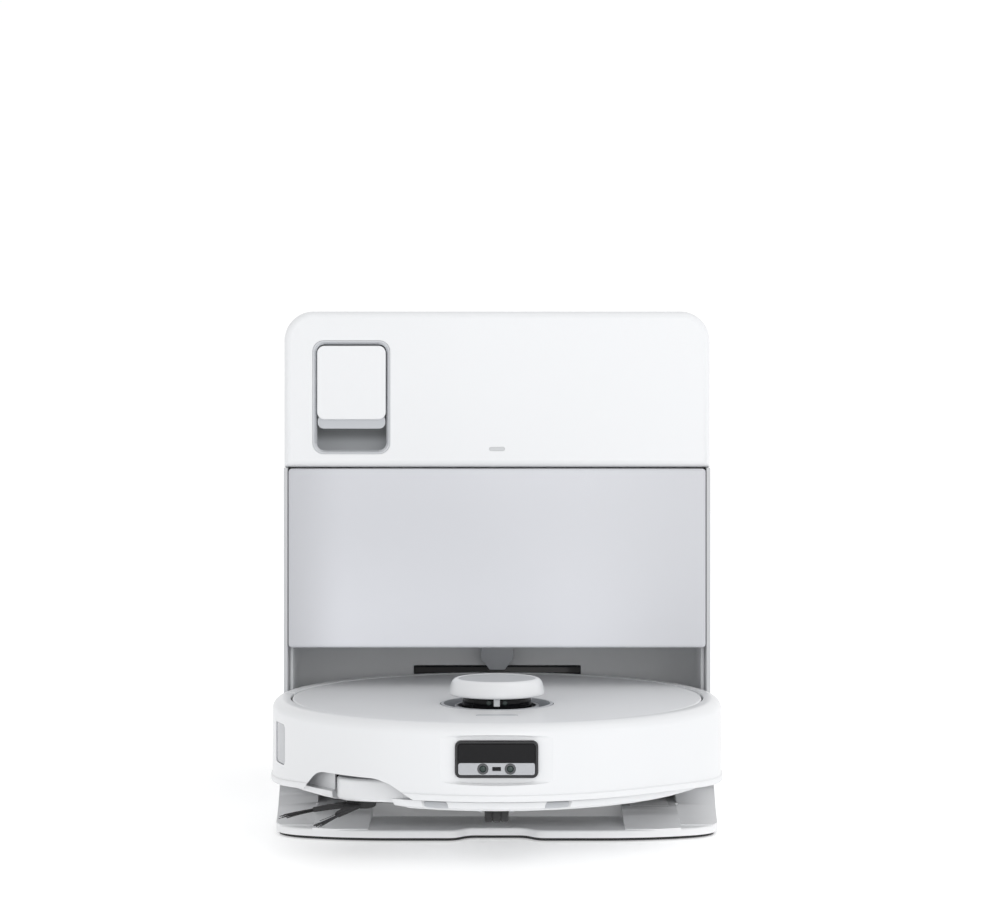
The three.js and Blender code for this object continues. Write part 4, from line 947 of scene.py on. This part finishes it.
def makeMainBrush():
    y, z, half = mainBrush["y"], mainBrush["z"], mainBrush["half"]
    core, axle, steps = mainBrush["core"] * mm, mainBrush["axle"] * mm, mainBrush["steps"]
    roller = newDrum("main_brush_core", core, onRobot(0, y, z), 2 * half * mm, "X", 48, 0.6 * mm)
    ends = [newDrum("end", axle, onRobot(side * half, y, z), 8 * mm, "X", 32) for side in (-1, 1)]
    cutWith(roller, *ends, operation="UNION")
    section = [(-1.4, 10.4), (-1.0, 14), (-0.7, 19.1), (0.7, 19.1), (1.0, 14), (1.4, 10.4)]
    stride = (2 * mainBrush["finHalf"] / steps * mm, 0, 0)
    fins = []
    for k in range(mainBrush["fins"]):
        fin = drawLine("fin", [onRobot(-mainBrush["finHalf"], y + a, z + b) for a, b in section])
        bpy.ops.mesh.edge_face_add()
        for i in range(steps):
            bpy.ops.mesh.extrude_region_move(TRANSFORM_OT_translate={"value": stride})
        bpy.ops.mesh.select_all(action="SELECT")
        bpy.ops.mesh.normals_make_consistent(inside=False)
        leaveEdit()
        for vertex in fin.data.vertices:
            share = 1 - abs(vertex.co.x - robotX) / (half * mm)
            angle = k * 2 * math.pi / mainBrush["fins"] + math.radians(mainBrush["twist"]) * share
            a, b = vertex.co.y - (robotY + y * mm), vertex.co.z - (groundZ + z * mm)
            c, s = math.cos(angle), math.sin(angle)
            vertex.co.y = robotY + y * mm + c * a - s * b
            vertex.co.z = groundZ + z * mm + s * a + c * b
        fins.append(fin)
    cutWith(roller, *fins, operation="UNION")
    finishPiece(roller, "roller_brush", "rubber", "main_brush", shade=30)


# mop pads: a soft crowned disc of looped cloth, with a groove inside its hem
mop = {"x": 66.0, "y": 86.0, "radius": 61.6, "low": 0.5, "high": 7.9}


def makeMopPad(name, side):
    r, low, high = mop["radius"], mop["low"], mop["high"]
    section = [(0, high), (r - 9, high), (r - 4, high - 0.3), (r - 1.4, high - 1.5), (r, high - 3.6),
               (r - 0.8, low + 2), (r - 3, low + 0.7), (r - 8, low + 0.5), (r - 10, low + 1.2),
               (r - 12, low + 0.3), (r * 0.6, low), (r * 0.3, low + 0.2), (0, low + 0.5)]
    pad = turnProfile(name + "_mop_cloth", section, onRobot(side * mop["x"], mop["y"], 0), 96)
    editAll(pad)
    bpy.ops.mesh.subdivide(number_cuts=2, smoothness=0.3)
    leaveEdit()
    draw = random.Random(11 + side)
    for vertex in pad.data.vertices:
        x, y = (vertex.co.x - robotX) / mm, (vertex.co.y - robotY) / mm
        if (vertex.co.z - groundZ) / mm < low + 2.5:
            wave = math.sin(x * 1.7) * math.cos(y * 1.9) * 0.22 + draw.uniform(-0.08, 0.08)
            vertex.co.z = max(groundZ + (low - 0.05) * mm, vertex.co.z + wave * mm)
    finishPiece(pad, name + "_mop", "fabric", name + "_mop_pad", shade=50)


makeBumper()
makeRearShell()
makeTopCover()
print("round shells made")
makeTurret()
makeSensors()
print("turret and sensors made")
makeSideArm()
makeSideBrush()
makeCaster()
makeMainBrush()
for name, side in (("left", -1), ("right", 1)):
    makeWheel(name, side)
    makeMopPad(name, side)
print("brushes, wheels and mops made")

# the station's sizes are in millimetres from the shared origin
cabinet = {"half": 173.9, "top": 405.0, "corner": 24.0, "wall": 3.0, "bottom": 31.3, "rearBevel": 7.0,
           "fasciaLow": 277.8, "fasciaDepth": 14.0, "frontRound": 6.0}
mouth = mouthY / mm
rear = rearY / mm


def box(name, x0, x1, y0, y1, z0, z1, bevel=0.0):
    return newBox(name, (x0 * mm, y0 * mm, z0 * mm), (x1 * mm, y1 * mm, z1 * mm), bevel * mm)


def front(name, x0, x1, z0, z1, y0, y1, corner, bevel=0.0, steps=8):
    return frontPlate(name, *(size * mm for size in (x0, x1, z0, z1, y0, y1, corner, bevel)), steps)


def raised(name, x0, x1, y0, y1, z0, z1, corner, bevel=0.0, steps=8):
    return raisedPlate(name, *(size * mm for size in (x0, x1, y0, y1, z0, z1, corner, bevel)), steps)


# rounds the edges whose two ends both pass a test, given in millimetres
def bevelWhere(piece, test, width, segments):
    selectNothing(piece)
    bpy.context.tool_settings.mesh_select_mode = (False, True, False)
    for edge in piece.data.edges:
        edge.select = all(test(*(piece.data.vertices[i].co / mm)) for i in edge.vertices)
    bpy.ops.object.mode_set(mode="EDIT")
    bpy.ops.mesh.bevel(offset=width * mm, segments=segments, affect="EDGES", clamp_overlap=True)
    leaveEdit()


def cabinetOutline(inset, bottom, y):
    half, top, r = cabinet["half"] - inset, cabinet["top"] - inset, cabinet["corner"] - inset
    corners = arcPoints(half - r, top - r, r, 0, 90, 16) + arcPoints(-half + r, top - r, r, 90, 180, 16)
    return [(x * mm, y * mm, z * mm) for x, z in [(-half, bottom), (half, bottom)] + corners]


def cabinetBlock(name, inset, bottom, y0, y1):
    return pushOutline(name, cabinetOutline(inset, bottom, y0), (0, (y1 - y0) * mm, 0))


tanks = {"clean": (6.0, 158.4, mouth + 21.5, rear - 13.5), "dirty": (-158.4, -6.0, mouth + 78, rear - 13.5)}
inlet = {"x": 110.0, "z": 62.0, "half": 26.0, "tall": 16.0}
vent = {"count": 9, "left": -128.0, "right": -48.0, "low": 176.0, "pitch": 8.0, "tall": 3.4}
hatch = {"half": 140.0, "low": 120.0, "high": 340.0, "corner": 14.0, "seam": 1.2, "depth": 0.7}


def makeCabinet():
    body = cabinetBlock("cabinet_body", 0, cabinet["bottom"], mouth + 1, rear)
    bevelWhere(body, lambda x, y, z: y > rear - 0.1 and z > 32, cabinet["rearBevel"], 6)
    inside = cabinetBlock("inside", cabinet["wall"], 26, mouth - 5, rear - cabinet["wall"])
    upper = box("upper", -400, 400, mouth - 5, mouth + 14.3, cabinet["fasciaLow"] - 0.6, 900)
    mouths = [raised("mouth", x0 - 1.5, x1 + 1.5, y0 - 1.5, y1 + 1.5, 375, 410, 13)
              for x0, x1, y0, y1 in tanks.values()]
    x, z, half, tall = inlet["x"], inlet["z"], inlet["half"], inlet["tall"]
    socket = box("socket", x - half, x + half, rear - 20, rear + 5, z - tall, z + tall, 1.5)
    lows = [vent["low"] + vent["pitch"] * k for k in range(vent["count"])]
    vents = [front("vent", vent["left"], vent["right"], z, z + vent["tall"], rear - 8, rear + 5, 1.6)
             for z in lows]
    # the seam of a hatch on the back
    half, low, high, wide = hatch["half"], hatch["low"], hatch["high"], hatch["seam"]
    seam = front("seam", -half, half, low, high, rear - hatch["depth"], rear + 5, hatch["corner"])
    cutWith(seam, front("seam_core", -half + wide, half - wide, low + wide, high - wide,
                        rear - 2, rear + 6, hatch["corner"] - 1))
    cutWith(body, inside, upper, *mouths, socket, *vents, seam)
    bevelEdges(body, 0.5 * mm, 2, 40)
    finishPiece(body, "dock", "cabinet", "cabinet_shell")


pocket = {"x0": -150.4, "x1": -87.2, "z0": 288.4, "z1": 381.0, "corner": 9.0, "depth": 70.0, "rim": 3.2}


def pocketPlate(name, inset, y0, y1):
    corner = max(1.0, pocket["corner"] - max(0, inset))
    return front(name, pocket["x0"] + inset, pocket["x1"] - inset, pocket["z0"] + inset, pocket["z1"] - inset,
                 mouth + y0, mouth + y1, corner if inset >= 0 else pocket["corner"] - inset)


statusLight = {"half": 6.3, "low": 290.9, "high": 294.1, "corner": 1.5, "gap": 0.05}
fingerScoop = {"start": 8.0, "back": 40.0, "tall": 32.6, "width": 62.8, "steps": 16}


# the light's outline, smaller by a gap on each side
def lightPlate(name, gap, y0, y1, bevel=0.0):
    half, low, high = statusLight["half"] - gap, statusLight["low"] + gap, statusLight["high"] - gap
    return front(name, -half, half, low, high, mouth + y0, mouth + y1, statusLight["corner"] - gap, bevel)


def makeFascia():
    low, depth = cabinet["fasciaLow"], cabinet["fasciaDepth"]
    face = cabinetBlock("fascia_face", 0, low, mouth, mouth + depth)
    bevelWhere(face, lambda x, y, z: y < mouth + 0.1 and (z > low + 1 or abs(x) > 173),
               cabinet["frontRound"], 10)
    hollow = cabinetBlock("hollow", 4, low + 3, mouth + 3, mouth + 60)
    cutWith(face, hollow)
    cutWith(face, pocketPlate("case", -2.2, 1, pocket["depth"] + 2.2), operation="UNION")
    cutWith(face, pocketPlate("pocket", 0, -2, pocket["depth"]), lightPlate("light", 0, -2, 10))
    bevelEdges(face, 0.3 * mm, 2, 45)
    finishPiece(face, "dock", "white", "front_fascia")
    # the grey rim that leads into the pocket
    rim = pocketPlate("pocket_rim", 0.15, 0.15, 9)
    opening = pocketPlate("opening", 0.5, -1, 4)
    middleX, middleZ = (pocket["x0"] + pocket["x1"]) / 2 * mm, (pocket["z0"] + pocket["z1"]) / 2 * mm
    for vertex in opening.data.vertices:
        if vertex.co.y > mouthY + 1 * mm:
            vertex.co.x += math.copysign(3.0 * mm, middleX - vertex.co.x)
            vertex.co.z += math.copysign(3.0 * mm, middleZ - vertex.co.z)
    cutWith(rim, opening, pocketPlate("through", pocket["rim"], -2, 12))
    bevelEdges(rim, 0.2 * mm, 2, 50)
    finishPiece(rim, "dock", "rim")
    # a scoop for the fingers at the foot of the pocket
    start, back = mouth + fingerScoop["start"], mouth + fingerScoop["back"]
    foot, tall, left = pocket["z0"] + 0.1, fingerScoop["tall"], pocket["x0"] + 0.2
    end = mouth + pocket["depth"] - 0.1
    curve = []
    for i in range(fingerScoop["steps"] + 1):
        turn = i * math.pi / 2 / fingerScoop["steps"]
        curve.append((start + (back - start) * math.sin(turn), foot + tall * (1 - math.cos(turn))))
    section = [(end, foot), (end, foot + tall), *reversed(curve)]
    scoop = sideSlab("finger_scoop", section, left, left + fingerScoop["width"])
    finishPiece(scoop, "dock", "scoop", shade=30)
    light = lightPlate("status_light_fine", statusLight["gap"], 0.12, 6, 0.1)
    finishPiece(light, "dock", "light", "status_light")


cartridge = {"sideGap": 3.6, "topGap": 4.2, "low": 316.6, "tankLow": 322.0, "corner": 6.0,
             "lipDrop": 7.4, "lipRise": 3.8, "lipDepth": 15.5}


def makeCartridge():
    left, right = pocket["x0"] + cartridge["sideGap"], pocket["x1"] - cartridge["sideGap"]
    low, high, back = cartridge["low"], pocket["z1"] - cartridge["topGap"], mouth + pocket["depth"] - 1.5
    tab = front("cartridge_tab", left, right, low, high, mouth + 0.4, mouth + 7, cartridge["corner"], 0.9)
    tank = box("tank", left + 1, right - 1, mouth + 6, back, cartridge["tankLow"], high - 1, 2)
    cutWith(tab, tank, operation="UNION")
    finishPiece(tab, "cartridge", "white", "detergent_cartridge")
    # the grey lip under the tab, sloping up towards the back
    lip = front("cartridge_lip", left + 0.4, right - 0.4, low - cartridge["lipDrop"],
                low + cartridge["lipRise"], mouth + 2.4, mouth + cartridge["lipDepth"], 5)
    for vertex in lip.data.vertices:
        if vertex.co.y > mouthY + 10 * mm and vertex.co.z < (low - 1) * mm:
            vertex.co.z += 1.5 * mm
    bevelEdges(lip, 0.7 * mm, 3, 50)
    finishPiece(lip, "cartridge", "trim")


door = {"half": 170.4, "depth": 15.0, "corner": 3.0, "frontRound": 2.2, "wall": 3.0}


def makeDustCover():
    half, wall, low, high = door["half"], door["wall"], doorLow.z / mm, doorHigh.z / mm
    pan = front("grey_panel", -half, half, low, high, mouth, mouth + door["depth"], door["corner"], 0, 6)
    bevelWhere(pan, lambda x, y, z: y < mouth + 0.1, door["frontRound"], 5)
    hollow = box("hollow", -half + wall, half - wall, mouth + wall, mouth + 40, low + wall, high - wall, 1)
    cutWith(pan, hollow)
    finishPiece(pan, "dust_door", "panel", "dust_cover")


# the bay: two round corners at the back, a window and two slots for the contacts in its back wall
bay = {"half": 170.6, "back": 120.25, "corner": 70.0, "ceiling": 133.5, "wall": 2.5, "windowHalf": 73.3,
       "windowLow": 80.7, "windowHigh": 103.3, "slotX": 32.0, "slotHalf": 7.0, "slotLow": 42.0,
       "slotHigh": 60.0}


def bayBlock(name, inset, start, z0, z1):
    half, end, r = bay["half"] - inset, bay["back"] - inset, bay["corner"] - inset
    line = [(-half, start), (half, start), *arcPoints(half - r, end - r, r, 0, 90, 24),
            *arcPoints(-half + r, end - r, r, 90, 180, 24)]
    return slabOf(name, line, z0, z1)


def makeBayLiner():
    wall, ceiling, y0, y1 = bay["wall"], bay["ceiling"], bay["back"] - 12.5, bay["back"] + 7.5
    liner = bayBlock("bay_liner_fine", 0, mouth + 19, cabinet["bottom"], ceiling + wall)
    room = bayBlock("room", wall, mouth + 1, 26, ceiling)
    window = box("window", -bay["windowHalf"], bay["windowHalf"], y0, y1, bay["windowLow"], bay["windowHigh"])
    wide, low, high = bay["slotHalf"], bay["slotLow"], bay["slotHigh"]
    slots = [box("slot", x - wide, x + wide, y0, y1, low, high, 1.5) for x in (-bay["slotX"], bay["slotX"])]
    cutWith(liner, room, window, *slots)
    bevelEdges(liner, 0.4 * mm, 2, 45)
    finishPiece(liner, "dock", "liner", "bay_liner", shade=30)


def curvePoints(points, steps=10):  # a quadratic or cubic curve through its handles
    made = []
    for i in range(1, steps + 1):
        row, t = [Vector(p) for p in points], i / steps
        while len(row) > 1:
            row = [a.lerp(b, t) for a, b in zip(row, row[1:])]
        made.append(tuple(row[0]))
    return made


# the base is lowest in its front pan, higher on the wheel tracks and highest on its side rails
base = {"half": 172.9, "frontHalf": 167.9, "front": -148.75, "low": 2.3, "pan": 7.8, "track": 18.0,
        "rail": 31.0, "railInner": 139.0, "trackInner": 96.0, "notchHalf": 26.0, "notchDepth": 11.0,
        "bow": 24.0, "backY": 117.75}
grip = {"count": 5, "x": 117.5, "half": 15.0, "start": -34.0, "pitch": 9.0, "width": 3.0}


def basePlan(inset):
    front, half, frontHalf = base["front"] + inset, base["half"] - inset, base["frontHalf"] - inset
    bow, n, notch = base["bow"], base["notchHalf"], front + base["notchDepth"]
    left = [(-half, rear - inset), (-half, mouth - 10), (-frontHalf, front + bow + 12)]
    left += curvePoints([left[-1], (-frontHalf, front + bow - 4), (-frontHalf + 18, front + bow - 12)])
    left += curvePoints([left[-1], (-frontHalf + 50, front), (-frontHalf + 90, front)])
    left += [(-n - 10, front)]
    left += curvePoints([left[-1], (-n, front), (-n, notch), (-n + 10, notch)], 8)
    return left + [(-x, y) for x, y in reversed(left)]


def slabOf(name, line, z0, z1):
    return pushOutline(name, [(x * mm, y * mm, z0 * mm) for x, y in line], (0, 0, (z1 - z0) * mm))


def sideSlab(name, line, x0, x1):
    return pushOutline(name, [(x0 * mm, y * mm, z * mm) for y, z in line], ((x1 - x0) * mm, 0, 0))


def makeBasePlate():
    low, pan, track, rail = base["low"], base["pan"], base["track"], base["rail"]
    ry = robotY / mm
    plate = slabOf("base_plate_fine", basePlan(0), low, pan)
    bevelWhere(plate, lambda x, y, z: z > pan - 0.1, 1.6, 4)
    plateau = box("plateau", -140, 140, ry - 24, mouth + 140, low, track)
    rearBlock = box("rear_block", -base["half"], base["half"], base["backY"], rear, low, rail)
    rise = [(ry - 80, pan + 0.6), (ry - 56, pan + 1.0), (ry - 44, track - 1), (ry - 36, track)]
    ramp = [(ry - 22, low), (ry - 80, low), rise[0], *curvePoints(rise, 12), (ry - 22, track)]
    rise = [(ry - 62, pan + 0.6), (ry - 22, pan + 1), (ry - 14, rail - 2), (ry + 6, rail)]
    end = base["backY"] + 1
    side = [(end, low), (ry - 62, low), rise[0], *curvePoints(rise, 14), (end, rail)]
    parts = []
    inner, outer = base["railInner"], base["half"]
    for way in (-1, 1):
        parts.append(sideSlab("ramp", ramp, *sorted((way * base["trackInner"], way * (inner - 1)))))
        parts.append(sideSlab("rail", side, *sorted((way * inner, way * outer))))
    cutWith(plate, plateau, rearBlock, *parts, operation="UNION")
    cutWith(plate, slabOf("bound", basePlan(0), 0, 40), operation="INTERSECT")
    basin = raised("basin", -132, 132, ry + 16, ry + 156, 9, 40, 40, 0, 16)
    clear = raised("clear", -base["railInner"], base["railInner"], ry - 90, base["backY"], track, 40, 2)
    # grooves across both wheel tracks, for grip
    grooves = []
    for x in (-grip["x"], grip["x"]):
        for k in range(grip["count"]):
            y = ry + grip["start"] + grip["pitch"] * k
            grooves.append(box("groove", x - grip["half"], x + grip["half"], y, y + grip["width"],
                               track - 1, track + 5, 0.4))
    cutWith(plate, basin, clear, *grooves)
    bevelEdges(plate, 0.6 * mm, 2, 40)
    finishPiece(plate, "dock", "base", "base_plate")
    sole = slabOf("rubber_sole", basePlan(2), 0, 2)
    bevelEdges(sole, 0.35 * mm, 2, 40)
    finishPiece(sole, "dock", "rubber", "base_sole")


# a tank stands under its lid, and the handle lies in a well in the lid, on two ears
tankSize = {"low": 280.3, "high": 387.0, "wall": 2.2, "lidLow": 387.3, "lidHigh": 404.0, "corner": 12.0,
            "lidRound": 2.4, "pivotBack": 37.0, "pivotZ": 398.5, "wellHalf": 50.0, "wellLow": 392.0,
            "earX": 48.0, "ear": 2.2, "boreX": 47.0, "bore": 2.5}


def makeTank(kind):
    x0, x1, y0, y1 = tanks[kind]
    low, high, wall, corner = (tankSize[key] for key in ("low", "high", "wall", "corner"))
    middle, pivot, z = (x0 + x1) / 2, (y0 + y1) / 2 + tankSize["pivotBack"], tankSize["pivotZ"]
    half, top = tankSize["wellHalf"], tankSize["lidHigh"]

    def pin(name, radius, x, length):
        return newDrum(name, radius * mm, ((middle + x) * mm, pivot * mm, z * mm), length * mm, "X", 32)

    tank = raised(kind + "_tank_body", x0, x1, y0, y1, low, high, corner, 1.6)
    cutWith(tank, raised("room", x0 + wall, x1 - wall, y0 + wall, y1 - wall, low + wall, 400, 10))
    finishPiece(tank, kind + "_water", "tank", kind + "_tank")
    lid = raised(kind + "_lid", x0, x1, y0, y1, tankSize["lidLow"], top, corner)
    bevelWhere(lid, lambda x, y, z: z > top - 0.1, tankSize["lidRound"], 4)
    well = raised("well", middle - half, middle + half, pivot - 80, pivot + 8, tankSize["wellLow"], 420, 8)
    cutWith(lid, well)
    ears = [pin("ear", tankSize["ear"], way * tankSize["earX"], 6) for way in (-1, 1)]
    cutWith(lid, *ears, operation="UNION")
    bevelEdges(lid, 0.5 * mm, 2, 45)
    finishPiece(lid, kind + "_lid", "white", kind + "_tank_lid")
    bail = box(kind + "_bail", middle - 44, middle + 44, pivot - 74, pivot - 60, z - 5, z + 4.5)
    line = roundedOutline(pivot - 72, pivot + 5, z - 5, z + 4.5, 4, 6)
    arms = [sideSlab("arm", line, middle + x, middle + x + 6.5) for x in (-45.5, 39)]
    cutWith(bail, *arms, operation="UNION")
    bores = [pin("bore", tankSize["bore"], way * tankSize["boreX"], 10) for way in (-1, 1)]
    cutWith(bail, *bores)
    bevelEdges(bail, 1.1 * mm, 3, 45)
    finishPiece(bail, kind + "_handle", "trim", kind + "_tank_handle")


# the dust bag swells from a slightly smaller box of paper cloth
bag = {"x": 80.0, "y0": 38.0, "y1": 95.0, "z0": 158.0, "z1": 254.0, "swell": 6.5}


def makeDustBag():
    piece = box("paper_bag", -bag["x"], bag["x"], bag["y0"], bag["y1"], bag["z0"], bag["z1"], 12)
    addModifier(piece, "REMESH", mode="VOXEL", voxel_size=5 * mm)
    start = [vertex.co.copy() for vertex in piece.data.vertices]
    activate(piece)
    cloth = piece.modifiers.new("cloth", "CLOTH")
    cloth.settings.use_pressure = True
    cloth.settings.uniform_pressure_force = 4
    cloth.settings.effector_weights.gravity = 0
    for step in range(1, 21):
        bpy.context.scene.frame_set(step)
    bpy.ops.object.modifier_apply(modifier="cloth")
    bpy.context.scene.frame_set(1)
    for vertex, was in zip(piece.data.vertices, start):
        move = vertex.co - was
        if move.length > bag["swell"] * mm:
            vertex.co = was + move.normalized() * bag["swell"] * mm
    draw = random.Random(5)
    folds = [(draw.uniform(-0.08, 0.08), draw.uniform(0.15, 0.25), draw.uniform(30, 70), draw.uniform(0, 3))
             for k in range(5)]
    for vertex in piece.data.vertices:
        wave = sum(math.sin((vertex.co.x - a) * f + (vertex.co.z - b) * f * 0.6 + p) for a, b, f, p in folds)
        vertex.co.y += wave * 0.35 * mm
    addModifier(piece, "SUBSURF", levels=1, render_levels=1)
    finishPiece(piece, "dock", "bag", "dust_bag", shade=60)


makeCabinet()
makeFascia()
makeCartridge()
makeDustCover()
print("cabinet, fascia and panel made")
makeBayLiner()
makeBasePlate()
for kind in tanks:
    makeTank(kind)
makeDustBag()
print("bay, base, tanks and bag made")

# every other frame node keeps its shape, with its edges eased
pierced = ("chassis", "wash_board")  # faces with openings are kept in triangles
stoodFor = {name for piece in bpy.context.scene.objects for name in piece.get("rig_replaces", [])}
for node in sorted(set(nodes) - stoodFor):
    piece = easedCopy(node, merged=node not in pierced)
    finishPiece(piece, bodyOf[node], slotOf[node], node, shade=0)
print("eased copies of the other nodes made")
